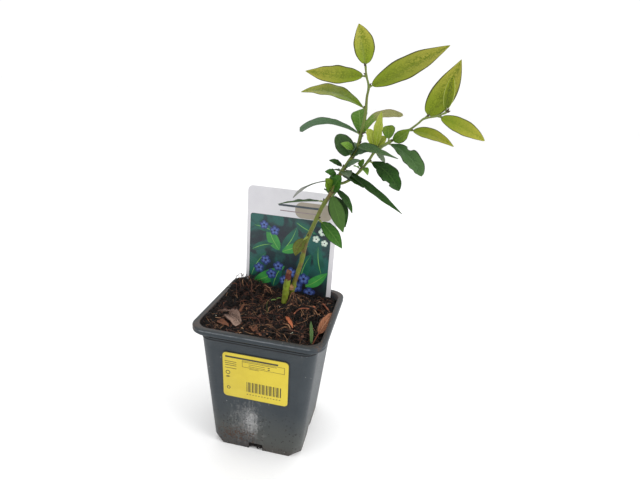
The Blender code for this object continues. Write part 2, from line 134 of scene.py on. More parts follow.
# A closed tube through the places, with its frame carried along without twisting.
def growTube(bm, places, radii, sides=10, relief=None, index=0):
    headings = [(b - a).normalized() for a, b in zip(places, places[1:])]
    headings = [headings[0], *[(a + b).normalized() for a, b in zip(headings, headings[1:])], headings[-1]]
    across = headings[0].orthogonal().normalized()
    frames = []
    for heading in headings:
        across = (across - across.dot(heading) * heading).normalized()
        frames.append((across, heading.cross(across)))

    def place(column, row):
        angle = fullTurn * column / sides
        radius = radii[row] * (relief(angle, row) if relief else 1)
        first, second = frames[row]
        return places[row] + (first * math.cos(angle) + second * math.sin(angle)) * radius

    made = placeGrid(bm, sides, len(places) - 1, place)
    bmesh.ops.remove_doubles(bm, verts=made, dist=weld)
    ends = {edge for vertex in made if vertex.is_valid for edge in vertex.link_edges if edge.is_boundary}
    bmesh.ops.holes_fill(bm, edges=list(ends))
    tint(made, index)


# A ball with bumps of its own, round a place.
def growLump(bm, place, radius, bumps, pitch, index=0):
    made = bmesh.ops.create_icosphere(bm, subdivisions=3, radius=radius)["verts"]
    for vertex in made:
        vertex.co = place + vertex.co * (1 + bumps * noise.noise(vertex.co * pitch + place))
    tint(made, index)


def flattenFoot(bm, place, reach):
    for vertex in bm.verts:
        if (vertex.co - place).length < reach:
            vertex.co.z = place.z


# A node tree at work. A material's colour is gathered layer on layer.
class Look:
    def __init__(self, tree):
        self.tree = tree

    def join(self, value, socket):  # a link, or a plain value
        if isinstance(value, bpy.types.NodeSocket):
            self.tree.links.new(value, socket)
        else:
            socket.default_value = value

    def add(self, kind, values=None, **settings):
        made = self.tree.nodes.new("ShaderNode" + kind)
        for setting, value in settings.items():
            setattr(made, setting, value)
        for socket, value in (values or {}).items():
            self.join(value, made.inputs[socket])
        return made

    def calc(self, operation, first, second=0.5):
        return self.add("Math", {0: first, 1: second}, operation=operation).outputs[0]

    def times(self, first, *others):
        for other in others:
            first = self.calc("MULTIPLY", first, other)
        return first

    def off(self, value, centre):  # how far the value is from the centre
        return self.calc("ABSOLUTE", self.calc("SUBTRACT", value, centre))

    def fade(self, value, low, high, start=0.0, end=1.0):
        return self.add("MapRange", {0: value, 1: low, 2: high, 3: start, 4: end},
                        interpolation_type="SMOOTHSTEP").outputs[0]

    def noise(self, scale, detail=3.0, roughness=0.55, distortion=0.0, place=None):
        place = self.spot if place is None else place
        return self.add("TexNoise", {"Vector": place, "Scale": scale, "Detail": detail,
                                     "Roughness": roughness, "Distortion": distortion}).outputs[0]

    def cracks(self, place, scale):
        return self.add("TexVoronoi", {"Vector": place, "Scale": scale},
                        feature="DISTANCE_TO_EDGE").outputs[0]

    def place(self, scale=(1, 1, 1), location=(0, 0, 0)):  # Object coordinates
        spot = self.add("TexCoord").outputs["Object"]
        return self.add("Mapping", {"Vector": spot, "Scale": scale, "Location": location}).outputs[0]

    def split(self, vector):
        return self.add("SeparateXYZ", {"Vector": vector}).outputs

    def use(self, tree, **values):  # a shared effect with this material's own values
        made = self.add("Group", node_tree=tree)
        for socket, value in values.items():
            self.join(value, made.inputs[socket])
        return made.outputs

    def layer(self, mask, colour, share=None):
        mask = mask if share is None else self.times(mask, share)
        self.colour = self.add("Mix", {0: mask, 6: self.colour, 7: paint(colour)},
                               data_type="RGBA").outputs[2]

    def finish(self, roughness, height, strength, distance):
        bump = self.add("Bump", {"Height": height, "Strength": strength, "Distance": distance}).outputs[0]
        for socket, value in (("Base Color", self.colour), ("Roughness", roughness), ("Normal", bump)):
            self.join(value, self.shader.inputs[socket])
        return self.material


def newLook(name, specular, colour):
    material = bpy.data.materials.new(name)
    material.use_nodes = True
    look = Look(material.node_tree)
    look.material = material
    look.shader = material.node_tree.nodes["Principled BSDF"]
    look.shader.inputs["Specular IOR Level"].default_value = specular
    look.spot = look.place()
    look.colour = paint(colour)
    return look


# A shared effect: inputs with their plain values, or None for a vector, and outputs.
def newGroup(name, inputs, outputs):
    tree = bpy.data.node_groups.new(name, "ShaderNodeTree")
    for socket, value in inputs.items():
        kind = "NodeSocketVector" if value is None else "NodeSocketFloat"
        made = tree.interface.new_socket(name=socket, in_out="INPUT", socket_type=kind)
        if value is not None:
            made.default_value = value
    for socket in outputs:
        tree.interface.new_socket(name=socket, in_out="OUTPUT", socket_type="NodeSocketFloat")
    return Look(tree), tree.nodes.new("NodeGroupInput").outputs, tree.nodes.new("NodeGroupOutput").inputs


# Round specks of one size, on a share of the cells of a lattice.
def buildSpecks():
    look, given, out = newGroup("specks", {"Vector": None, "Scale": 400.0, "Size": 0.2, "Share": 0.3},
                                ["Mask"])
    cells = look.add("TexVoronoi", {"Vector": given["Vector"], "Scale": given["Scale"]}).outputs
    ink = look.add("SeparateColor", {"Color": cells["Color"]}).outputs[0]
    near = look.calc("LESS_THAN", cells["Distance"], given["Size"])
    look.join(look.times(near, look.calc("LESS_THAN", ink, given["Share"])), out["Mask"])
    return look.tree


# A soft patch round a centre, broken up by noise. The vector puts the patch on a unit ball.
def buildStain():
    look, given, out = newGroup("stain", {"Vector": None, "Grain": 3.0, "Breakup": 0.5}, ["Mask"])
    distance = look.add("VectorMath", {0: given["Vector"]}, operation="LENGTH").outputs["Value"]
    cloud = look.noise(given["Grain"], 6.0, 0.65, place=given["Vector"])
    wobble = look.times(look.calc("SUBTRACT", cloud, 0.5), look.times(given["Breakup"], 4.0))
    look.join(look.fade(look.calc("ADD", distance, wobble), 0.1, 1.0, 1.0, 0.0), out["Mask"])
    return look.tree


# Midrib, side veins and margin of a blade whose UV runs across and along it.
def buildVeins():
    names = ("Midrib", "Veins", "Margin", "Along", "Across")
    look, given, out = newGroup("leaf veins", {"UV": None, "Count": 7.0, "Slant": 1.6}, names)
    u, along, _ = look.split(given["UV"])
    across = look.times(look.off(u, 0.5), 2.0)
    order = look.calc("SUBTRACT", look.times(along, given["Count"]), look.times(across, given["Slant"]))
    veins = look.fade(look.off(look.calc("FRACT", order), 0.5), 0.02, 0.10, 1.0, 0.0)
    inside = look.fade(across, 0.7, 0.98, 1.0, 0.0)
    masks = (look.fade(across, 0.02, 0.09, 1.0, 0.0), look.times(veins, inside),
             look.fade(across, 0.84, 0.94),
             along, across)
    for name, mask in zip(names, masks):
        look.join(mask, out[name])
    return look.tree


specksGroup = buildSpecks()
stainGroup = buildStain()
veinGroup = buildVeins()
print("shader groups built")


# Pot: satin slate-grey plastic, rim turned over above four fine ridges

pot = dict(
    height=98.0, mouthWidth=82.0, shoulderHeight=89.5, shoulderWidth=79.6, shoulderCorner=9.5,
    baseWidth=64.0, baseCorner=7.0, rimDepth=4.6, rimCorner=11.0, wall=1.2, floor=1.6, footChamfer=0.35,
    cornerSteps=10, sideSteps=6, footCutReach=39.6, footCutSlope=60,
    notchWidth=10.0, notchHeight=5.5, notchDepth=1.3, levels=(12, 24, 36, 48, 60, 72, 82),
    # collar from the shoulder up to the top of the rim, as (height, half width)
    collar=(
        (87.6, 39.62), (88.0, 39.95), (88.5, 39.98), (88.8, 39.75), (89.3, 39.8), (89.7, 40.15),
        (90.2, 40.2),
        (90.5, 39.95), (91.0, 40.2), (91.4, 40.65), (91.9, 40.7), (92.2, 40.5), (92.5, 41.3), (92.8, 42.0),
        (93.1, 42.3), (93.3, 43.4), (93.6, 44.3), (94.1, 44.75), (94.8, 44.95), (95.5, 44.9), (95.9, 44.75),
        (96.3, 44.85), (96.9, 45.0), (97.5, 44.9), (97.85, 44.6), (98.0, 44.1), (97.95, 43.2), (97.9, 42.3),
    ),
    # rimShade paints shade on the flat top of the rim
    colour=(37, 45, 51), cloud=(46, 53, 58), scuff=(78, 84, 88), dust=(94, 91, 82), rimShade=(26, 31, 36),
    haze=(76, 76, 68), chalk=(150, 149, 148), chalkMiddle=(178, 178, 178), dirt=(70, 52, 41),
    # groove paints shade into the grooves under the rim, and the lip's pale grey is a painted highlight
    groove=(20, 20, 22), paintedLipHighlight=(112, 116, 120), roughness=0.46,
    # chalky splash, its bright middle and brown soil: scale, place, grain, breakup and wear
    stains=(
        ((72, 10, 44), (0.45, 0.35, -1.06), 5.5, 0.75, (0.2, 0.7, 0.35, 1.0)),
        ((150, 10, 62), (0.5, 0.3, -1.6), 4.0, 0.6, (0.3, 0.6, 0.15, 0.5)),
        ((46, 10, 85), (0.6, 0.3, -0.95), 5.0, 0.6, (0.46, 0.54)),
    ),
    grooves=(0.0888, 0.0905, 0.0922), lip=0.0969,
)
shoulderHalf, baseHalf = pot["shoulderWidth"] / 2, pot["baseWidth"] / 2
wallSlope = math.atan2(shoulderHalf - baseHalf, pot["shoulderHeight"])


def outerHalf(z):
    return between(((0, baseHalf), (pot["shoulderHeight"], shoulderHalf)), z)


def cavityHalf(z):
    return between(((0, baseHalf - pot["wall"]), (pot["shoulderHeight"], shoulderHalf - pot["wall"]),
                    (pot["height"] - 1, pot["mouthWidth"] / 2)), z)


def cornerRadius(z):
    return between(((0, pot["baseCorner"]), (pot["shoulderHeight"], pot["shoulderCorner"]),
                    (pot["height"] - pot["rimDepth"], pot["rimCorner"])), z)


# Points round a square with round corners, anticlockwise from above.
def squareOutline(half, corner):
    points = []
    for quarter in range(4):
        middle = math.radians(45 + 90 * quarter)
        centre = Vector((math.copysign(half - corner, math.cos(middle)),
                         math.copysign(half - corner, math.sin(middle)), 0))
        arc = []
        for step in range(pot["cornerSteps"] + 1):
            angle = math.radians(90 * quarter + 90 * step / pot["cornerSteps"])
            arc.append(centre + corner * Vector((math.cos(angle), math.sin(angle), 0)))
        turned = turnAbout("Z", 90) @ arc[0]
        points += arc + [arc[-1].lerp(turned, step / pot["sideSteps"])
                         for step in range(1, pot["sideSteps"])]
    return points


# A body through rounded squares, as (height, half width, corner), closed at both ends.
def loftSquares(stations):
    bm = bmesh.new()
    rings = [[point + up * z for point in squareOutline(half, corner)] for z, half, corner in stations]
    count = len(rings[0])
    placeGrid(bm, count, len(rings) - 1, lambda column, row: rings[row][column % count])
    bmesh.ops.remove_doubles(bm, verts=bm.verts, dist=weld)
    bmesh.ops.holes_fill(bm, edges=openEdges(bm))
    bmesh.ops.recalc_face_normals(bm, faces=bm.faces)
    return bm


# Cuts the foot's four corners away on a slant.
def sliceFoot(bm, inset):
    slope = math.radians(pot["footCutSlope"])
    for turn in range(4):
        angle = math.radians(45 + 90 * turn)
        outward = Vector((math.cos(angle), math.sin(angle), 0))
        normal = outward * math.sin(slope) - up * math.cos(slope)
        bmesh.ops.bisect_plane(bm, geom=bm.verts[:] + bm.edges[:] + bm.faces[:], clear_outer=True,
                               plane_co=outward * pot["footCutReach"] - normal * inset, plane_no=normal)
        bmesh.ops.holes_fill(bm, edges=openEdges(bm))


def potMaterial():
    look = newLook("satinPot", 0.35, pot["colour"])
    x, y, z = look.split(look.spot)
    broad, fine = look.noise(38.0, 4.0), look.noise(900.0)
    scuffs = look.noise(1.0, 5.0, 0.7, place=look.place((160, 160, 900)))
    look.layer(look.fade(broad, 0.35, 0.7), pot["cloud"])
    look.layer(look.fade(scuffs, 0.62, 0.8, 0.0, 0.35), pot["scuff"])
    # dust on the turned-over rim and every ledge, painted shade on the flat top of the rim, and haze over
    # the foot
    facing = look.split(look.add("NewGeometry").outputs["Normal"])[2]
    look.layer(look.times(look.fade(facing, 0.3, 0.95), look.fade(fine, 0.35, 0.62)), pot["dust"], 0.4)
    look.layer(look.times(look.fade(facing, 0.2, 0.8), look.fade(z, 0.0935, 0.0945)), pot["rimShade"], 0.45)
    look.layer(look.times(look.fade(z, 0.006, 0.045, 0.5, 0.0), look.fade(broad, 0.3, 0.6)), pot["haze"])
    # stains low on the front, and a thin soil line round the foot
    front = look.fade(y, -0.030, -0.0315)
    stains = []
    for scale, location, grain, breakup, wear in pot["stains"]:
        stain = look.use(stainGroup, Vector=look.place(scale, location), Grain=grain,
                         Breakup=breakup)["Mask"]
        stains.append(look.times(stain, front, look.fade(fine, *wear)))
    splash, bright, soil = stains
    look.layer(splash, pot["chalk"], 0.38)
    look.layer(bright, pot["chalkMiddle"])
    footLine = look.fade(look.calc("ADD", z, look.times(broad, 0.016)), 0.008, 0.020, 1.0, 0.0)
    footLine = look.times(footLine, look.fade(fine, 0.36, 0.6))
    soil = look.calc("MAXIMUM", look.times(soil, 0.9), look.times(footLine, 0.5))
    look.layer(soil, pot["dirt"])
    # painted shade in the grooves below the rim, a painted highlight along its lip, and soil along its
    # inner edge
    first, second, third = [look.off(z, groove) for groove in pot["grooves"]]
    near = look.calc("MINIMUM", look.calc("MINIMUM", first, second), third)
    look.layer(look.fade(near, 0.0002, 0.0006, 0.75, 0.0), pot["groove"])
    aside = look.calc("MAXIMUM", look.calc("ABSOLUTE", x), look.calc("ABSOLUTE", y))
    # a painted highlight along the lip, broken up by the scuffs
    lip = look.times(look.fade(look.off(z, pot["lip"]), 0.0002, 0.0007, 1.0, 0.0),
                     look.fade(aside, 0.0444, 0.0448))
    look.layer(look.times(lip, look.fade(scuffs, 0.4, 0.62, 0.2, 0.8)), pot["paintedLipHighlight"])
    brink = look.times(look.fade(aside, 0.0418, 0.0438, 0.75, 0.0), look.fade(z, 0.094, 0.0965))
    look.layer(look.times(brink, look.fade(fine, 0.4, 0.56)), pot["dirt"])
    pale = look.use(specksGroup, Vector=look.spot, Scale=330.0, Size=0.12, Share=0.16)["Mask"]
    dark = look.use(specksGroup, Vector=look.spot, Scale=420.0, Size=0.24, Share=0.5)["Mask"]
    look.layer(pale, (150, 150, 148), 0.55)
    look.layer(look.times(dark, look.fade(z, 0.020, 0.050, 1.0, 0.15)), (26, 22, 20), 0.8)
    rough = look.calc("ADD", look.fade(fine, 0.3, 0.7, pot["roughness"] - 0.05, pot["roughness"] + 0.06),
                      look.times(look.calc("MAXIMUM", soil, splash), 0.35))
    height = look.calc("ADD", look.times(fine, 0.25), look.times(scuffs, 0.4))
    return look.finish(rough, look.calc("ADD", height, look.times(soil, 0.8)), 0.22, 0.0003)


def buildPot():
    chamfer, wall, shoulder = pot["footChamfer"], pot["wall"], pot["shoulderHeight"]
    outside = loftSquares([(0, outerHalf(0) - chamfer, cornerRadius(0)),
                           (chamfer, outerHalf(chamfer), cornerRadius(0))]
                          + [(z, outerHalf(z), cornerRadius(z)) for z in pot["levels"]]
                          + [(z, half, cornerRadius(z)) for z, half in pot["collar"]])
    sliceFoot(outside, 0)
    inside = loftSquares([(z, cavityHalf(z), cornerRadius(z) - wall)
                          for z in (pot["floor"], 30, 60, shoulder, 93, 96, 97.2)]
                         + [(97.75, cavityHalf(97) + 0.35, cornerRadius(97) - 0.9)])
    sliceFoot(inside, wall)
    bmesh.ops.reverse_faces(inside, faces=inside.faces)
    lining = meshFrom(inside, "potWall")
    outside.from_mesh(lining)
    bpy.data.meshes.remove(lining)
    lids = [face for face in outside.faces if all(vertex.co.z > 97.7 for vertex in face.verts)
            and len(face.verts) > 8]
    bmesh.ops.delete(outside, geom=lids, context="FACES_ONLY")
    bmesh.ops.bridge_loops(outside, edges=openEdges(outside))
    piece = finishPiece(outside, "nursery_pot", [potMaterial()], ["pot"], 38)

    # a notch in the foot of each side
    notches = bmesh.new()
    inner = baseHalf - wall - pot["notchDepth"]
    depth = baseHalf + 2 - inner
    for turn in range(4):
        bmesh.ops.create_cube(notches, size=mm, matrix=(
            turnAbout("Z", 90 * turn, 4)
            @ Matrix.Translation(Vector((0, inner + depth / 2, pot["notchHeight"] / 2 - 1)) * mm)
            @ Matrix.Diagonal((pot["notchWidth"], depth, pot["notchHeight"] + 2, 1))))
    cutter = newObject("notchCutter", meshFrom(notches, "notchCutter"))
    cut = piece.modifiers.new("notches", "BOOLEAN")
    cut.operation = "DIFFERENCE"
    cut.object = cutter
    bpy.context.view_layer.update()
    finished = bpy.data.meshes.new_from_object(piece.evaluated_get(bpy.context.evaluated_depsgraph_get()))
    piece.modifiers.clear()
    piece.data = finished
    bpy.data.objects.remove(cutter, do_unlink=True)


buildPot()
print("pot built")


# Compost: the same ground as the solid's, with finer lumps, then fibres and crumbs on it

compost = dict(
    level=94.4, stemMound=96.7, moundRadius=10.0, stem=(6.0, 13.5), cells=150, fineLumps=0.55,
    # middle, height and spread of what rises or dips; the bank lies at the shoot's foot
    heap=((-26, 26), 3.2, 260), dip=((36, -34), -3.0, 420),
    spill=((-33, 30), 2.4, 210), bank=((9.8, 13.5), 8.5, 11),
    fibres=2100, longFibres=230, wildFibres=230, footFibres=90, crumbs=2100, seed=11, gap=0.05,
    cornerDraw=0.235, levels=(86.0, 60.0, 30.0, pot["floor"] + 0.3),
    dark=(10, 8, 7), brown=(25, 17, 14), russet=(94, 55, 40), tan=(168, 126, 94),
    lumps=((1.9, 5.2), (1.1, 3.1), (0.55, 1.5), (0.3, 0.8)),  # height and width
    grit=((-8.9, -4.1), (-6.3, -5.0), (-17.6, -10.5), (3.0, -9.0), (-30.0, 4.0), (20.0, -24.0),
          (-12.0, 22.0)),
)


def heap(x, y, middle, height, spread):
    return height * math.exp(-((x - middle[0]) ** 2 + (y - middle[1]) ** 2) / spread)


# The source's ground: mound at the stem, heap at the back left, dip at the front right.
def compostHeight(x, y):
    rolling = (compost["level"] + heap(x, y, *compost["heap"]) + heap(x, y, *compost["dip"])
               + 1.1 * noise.noise(Vector((x / 9, y / 9, 3.7))))
    away = math.hypot(x - compost["stem"][0], y - compost["stem"][1])
    share = smoothStep(away, compost["moundRadius"], compost["moundRadius"] + 14)
    return compost["stemMound"] + (rolling - compost["stemMound"]) * share


# The compost's own surface: lumps, pits, a raised brink, a spill and a bank at the shoot's foot.
def groundHeight(x, y):
    place = Vector((x, y, 0))
    lumps = sum(height * noise.noise(place / width) for height, width in compost["lumps"])
    pits = max(0, noise.noise(place / 2.3 + Vector((9, 4, 2))) - 0.12) * 3.2
    brink = 1.1 * smoothStep(max(abs(x), abs(y)), 31, 40) + 2.1 * smoothStep(-x, 30, 40)
    return (compostHeight(x, y) + compost["fineLumps"] * lumps - pits + brink
            + heap(x, y, *compost["spill"]) + heap(x, y, *compost["bank"]))


def peatMaterial():
    look = newLook("dampPeat", 0.15, compost["dark"])
    broad, grain = look.noise(130.0, 5.0, 0.7), look.noise(1500.0, 4.0, 0.7)
    threads = look.noise(1.0, 3.0, 0.6, 1.5, look.place((1800, 500, 700)))
    look.layer(look.fade(broad, 0.42, 0.68), compost["brown"])
    look.layer(look.fade(threads, 0.62, 0.74, 0.0, 0.4), compost["russet"])
    look.layer(look.fade(grain, 0.55, 0.8, 0.0, 0.4), (12, 9, 8))
    return look.finish(look.fade(grain, 0.3, 0.7, 0.6, 0.95), look.calc("ADD", grain, threads), 0.9, 0.0005)


def strandMaterial(name, colour, deep, roughness=0.75):
    look = newLook(name, 0.35, colour)
    grain = look.noise(2600.0, 2.0)
    look.layer(look.fade(look.noise(260.0), 0.35, 0.68), deep)
    return look.finish(look.fade(grain, 0.3, 0.7, roughness - 0.12, roughness + 0.1), grain, 0.5, 0.0002)


peatDark = peatMaterial()
darkStrand = strandMaterial("darkFibre", (21, 15, 12), (11, 9, 8))
russetStrand = strandMaterial("russetFibre", compost["russet"], (48, 28, 22))
tanStrand = strandMaterial("tanFibre", compost["tan"], (104, 70, 50))


def buildCompost():
    bm = bmesh.new()
    cells, rim = compost["cells"], cavityHalf(97)
    draw = (1 - 1 / math.sqrt(2)) * compost["cornerDraw"]

    # The square grid is drawn in to the pot's round corners.
    def surface(column, row):
        x, y = 2 * column / cells - 1, 2 * row / cells - 1
        reach = max(abs(x), abs(y))
        drawn = rim * (1 - draw * abs(x * y / reach ** 2) ** 7 * reach ** 6) if reach else rim
        x, y = x * drawn, y * drawn
        z = groundHeight(x, y)
        shrink = (cavityHalf(z) - compost["gap"]) / rim
        return Vector((x * shrink, y * shrink, z))

    placeGrid(bm, cells, cells, surface)
    for level in compost["levels"]:
        for vertex in vertsOf(bmesh.ops.extrude_edge_only(bm, edges=openEdges(bm))["geom"]):
            share = (cavityHalf(level) - 0.1) / (cavityHalf(vertex.co.z) - compost["gap"])
            vertex.co = (vertex.co.x * share, vertex.co.y * share, level)
    bmesh.ops.holes_fill(bm, edges=openEdges(bm))
    bmesh.ops.recalc_face_normals(bm, faces=bm.faces)
    sliceFoot(bm, pot["wall"] + 0.3)
    finishPiece(bm, "peat_surface", [peatDark], ["compost"])


def inPot(x, y, margin=1.0):
    limit = cavityHalf(94) - margin
    corner = limit - 9
    past = math.hypot(max(0, abs(x) - corner), max(0, abs(y) - corner))
    behindCard = y > 35.2 and abs(x) < 35.6
    return abs(x) < limit and abs(y) < limit and past < 9 and not behindCard


# One fibre that follows the ground with humps of its own.
def layStrand(bm, rng, x, y, lengths, radii, bend, hovers, weights=None, steps=6, index=0):
    heading = rng.uniform(0, fullTurn)
    length, radius = (rng.uniform(*lengths), rng.uniform(*radii)) if weights else (lengths, radii)
    hover = rng.uniform(*hovers)
    if weights:
        index = rng.choices((0, 1, 2), weights=weights)[0]
    places = []
    for step in range(steps + 1):
        if not inPot(x, y, 0.6 if hover < 1.5 else -2.2):
            break
        hump = hover * math.sin(math.pi * step / steps) * rng.uniform(0.5, 1.2)
        ground = groundHeight(x, y) if inPot(x, y, 0) else pot["height"]
        places.append(Vector((x, y, ground + radius * 0.6 + hump)))
        heading += rng.uniform(-bend, bend)
        x += math.cos(heading) * length / steps
        y += math.sin(heading) * length / steps
    if len(places) > 2:
        last = len(places) - 1
        radii = [radius * (0.35 + 0.65 * math.sin(math.pi * (0.12 + 0.76 * i / last)))
                 for i in range(last + 1)]
        growTube(bm, places, radii, 4, index=index)


def buildFibres():
    rng = random.Random(compost["seed"])
    for name in ("peat_fibres_front", "peat_fibres_back"):
        bm = bmesh.new()
        for _ in range(compost["fibres"] // 2):
            x, y = rng.uniform(-40, 40), rng.uniform(-40, 40)
            if inPot(x, y):
                kind = rng.choices((0, 1, 2), weights=(8, 1.7, 0.9))[0]
                length = rng.choice((3, 5, 8, 12, 16)) * rng.uniform(0.7, 1.3)
                radius = rng.uniform(0.07, 0.2) if rng.random() < 0.85 else rng.uniform(0.25, 0.45)
                layStrand(bm, rng, x, y, length, radius, 0.45, (0.1, 1.3), index=kind)
        for _ in range(compost["longFibres"] // 2):
            x, y = rng.uniform(-38, 38), rng.uniform(-38, 36)
            if inPot(x, y, 2):
                layStrand(bm, rng, x, y, (8, 18), (0.07, 0.14), 0.38, (0.5, 1.4), (0, 3, 2), 9)
        for _ in range(compost["wildFibres"] // 2):
            x, y = rng.gauss(-25, 8), rng.gauss(25, 7)
            if inPot(x, y):
                layStrand(bm, rng, x, y, (6, 16), (0.12, 0.3), 0.5, (1.5, 6.0), (5, 4, 1))
        for _ in range(compost["footFibres"] // 2):
            x, y = rng.gauss(9.8, 2), rng.gauss(13, 2)
            layStrand(bm, rng, x, y, (2.5, 6), (0.07, 0.16), 0.5, (0.2, 1.2), (1, 3, 2))
        finishPiece(bm, name, [darkStrand, russetStrand, tanStrand])


def buildCrumbs():
    rng = random.Random(compost["seed"] + 1)
    bm = bmesh.new()
    for _ in range(compost["crumbs"]):
        x, y = rng.uniform(-40, 40), rng.uniform(-40, 40)
        size = rng.uniform(0.25, 0.9) if rng.random() < 0.9 else rng.uniform(0.9, 1.7)
        if not inPot(x, y, 1.6):
            continue
        made = bmesh.ops.create_icosphere(bm, subdivisions=1, radius=size)["verts"]
        stretch = Vector((rng.uniform(0.7, 1.5), rng.uniform(0.6, 1.1), rng.uniform(0.4, 0.8)))
        spin = Matrix.Rotation(rng.uniform(0, math.pi), 3, "Z")
        turn = spin @ Matrix.Rotation(rng.uniform(-0.6, 0.6), 3, "X")
        middle = Vector((x, y, groundHeight(x, y) + size * 0.15))
        offset = Vector((rng.random(), rng.random(), rng.random())) * 50
        kind = rng.choices((0, 1, 2), weights=(12, 1, 0.3))[0]
        for vertex in made:
            bulge = 1 + 0.5 * noise.noise(vertex.co / size * 0.9 + offset)
            vertex.co = middle + turn @ (vertex.co * stretch * bulge)
        tint(made, kind)
    finishPiece(bm, "peat_crumbs", [peatDark, russetStrand, tanStrand], sharpAngle=40)


# A few white and pale green grains.
def buildGrit():
    rng = random.Random(5)
    bm = bmesh.new()
    for x, y in [*compost["grit"], *[(rng.uniform(-36, 36), rng.uniform(-36, 33)) for _ in range(16)]]:
        size = rng.uniform(0.22, 0.42)
        made = bmesh.ops.create_icosphere(bm, subdivisions=2, radius=size)["verts"]
        middle = Vector((x, y, groundHeight(x, y) + size * 0.6))
        for vertex in made:
            vertex.co = middle + vertex.co * (1 + 0.4 * noise.noise(vertex.co / size + middle))
    finishPiece(bm, "pale_grit", [strandMaterial("paleGrit", (205, 205, 190), (170, 180, 150))])


buildCompost()
buildFibres()
buildCrumbs()
buildGrit()
print("compost built")


# Shoots: routes, tapers and nodes as in the source, carried to bark relief

leaderRoute = (
    (7.5, 16, 97), (9.8, 14.5, 111), (14.8, 13.5, 130.5), (17.5, 12, 146), (22, 11, 159),
    (27.5, 9, 173.5), (33, 7, 184), (38, 5, 197), (43, 3, 206), (47.5, 2, 213.5), (49, 1.5, 221),
    (50, 1, 228), (51, 0, 237), (51, -1, 246), (51.5, -2, 252), (49.5, -2, 258), (48.5, -1.5, 262.5),
)
sideRoute = (
    (35.5, 6.2, 190.5), (41, 7, 192), (46.5, 6, 196), (52, 3, 203), (56, 0, 209), (59.5, -3, 215.5),
    (64, -6, 219.5), (69.5, -9, 223.5), (75.5, -12, 228), (82, -15, 234), (85.5, -16, 237.5),
    (92, -17.5, 239.5), (97, -18.5, 242),
)
stumpRoute = ((4.1, 11.5, 97), (5.3, 11.8, 110), (6.5, 12, 122.6))
leaderTaper = ((0, 2.2), (3, 1.8), (9, 1.75), (13, 2.1), (17, 1.65), (90, 1.38), (105, 1.15), (120, 1.1),
               (150, 0.88), (163, 0.7), (176, 0.5))
sideTaper = ((0, 0.95), (40, 0.78), (62, 0.62), (88, 0.48))
stumpTaper = ((0, 2.0), (5, 2.2), (12, 2.6), (18, 2.4), (26, 2.1))
shoots = dict(sides=18, spacing=0.55, ridge=0.035, nodeSwell=0.12, nodeLimit=0.18, nodeReach=1.5,
              spurReach=0.8, bareNode=38.5,
              # distance, direction and size of the leader's leaf scars
              scars=((13.5, 0.4, 0.35), (38.5, 2.6, 0.3)),
              knobAt=13.2, knobOffset=(-0.9, -2.4, -0.2), knobRadius=1.9, stubAt=135.5,
              stub=((0, 0, 0), (1.2, -1.3, 1.1), (2.6, -2.4, 1.9), (4.0, -3.5, 1.7)),
              stubRadii=(0.55, 0.42, 0.4, 0.3),
              stumpLength=25.6, stumpRows=52, lidAbove=110, deadFrom=116.2, cutFrom=121.6)


def smoothRoute(points, steps=16):
    knots = [Vector(point) for point in points]
    knots = [2 * knots[0] - knots[1], *knots, 2 * knots[-1] - knots[-2]]
    places = []
    for a, b, c, d in zip(knots, knots[1:], knots[2:], knots[3:]):
        for step in range(steps):
            t = step / steps
            places.append(0.5 * (2 * b + (c - a) * t + (2 * a - 5 * b + 4 * c - d) * t * t
                                 + (3 * b - a - 3 * c + d) * t ** 3))
    places.append(knots[-2])
    route = [(0.0, places[0])]
    for place in places[1:]:
        distance, last = route[-1]
        route.append((distance + (place - last).length, place))
    return route


def headingAlong(route, distance):
    return (between(route, distance + 1) - between(route, distance - 1)).normalized()


leader, side, stump = smoothRoute(leaderRoute), smoothRoute(sideRoute), smoothRoute(stumpRoute)


# Leaves: the source's table, with each leaf's tone as its last word

def leaf(at, reach, width, tone, **given):
    usual = dict(bow=2, roll=0, twist=0, fold=14, belly=0.45, sway=0, droop=0, base=0.65, tip=1.0,
                 ripple=0.35,
                 chew=0.0)
    return {**usual, **given, "at": at, "reach": Vector(reach), "width": width, "tone": tone}


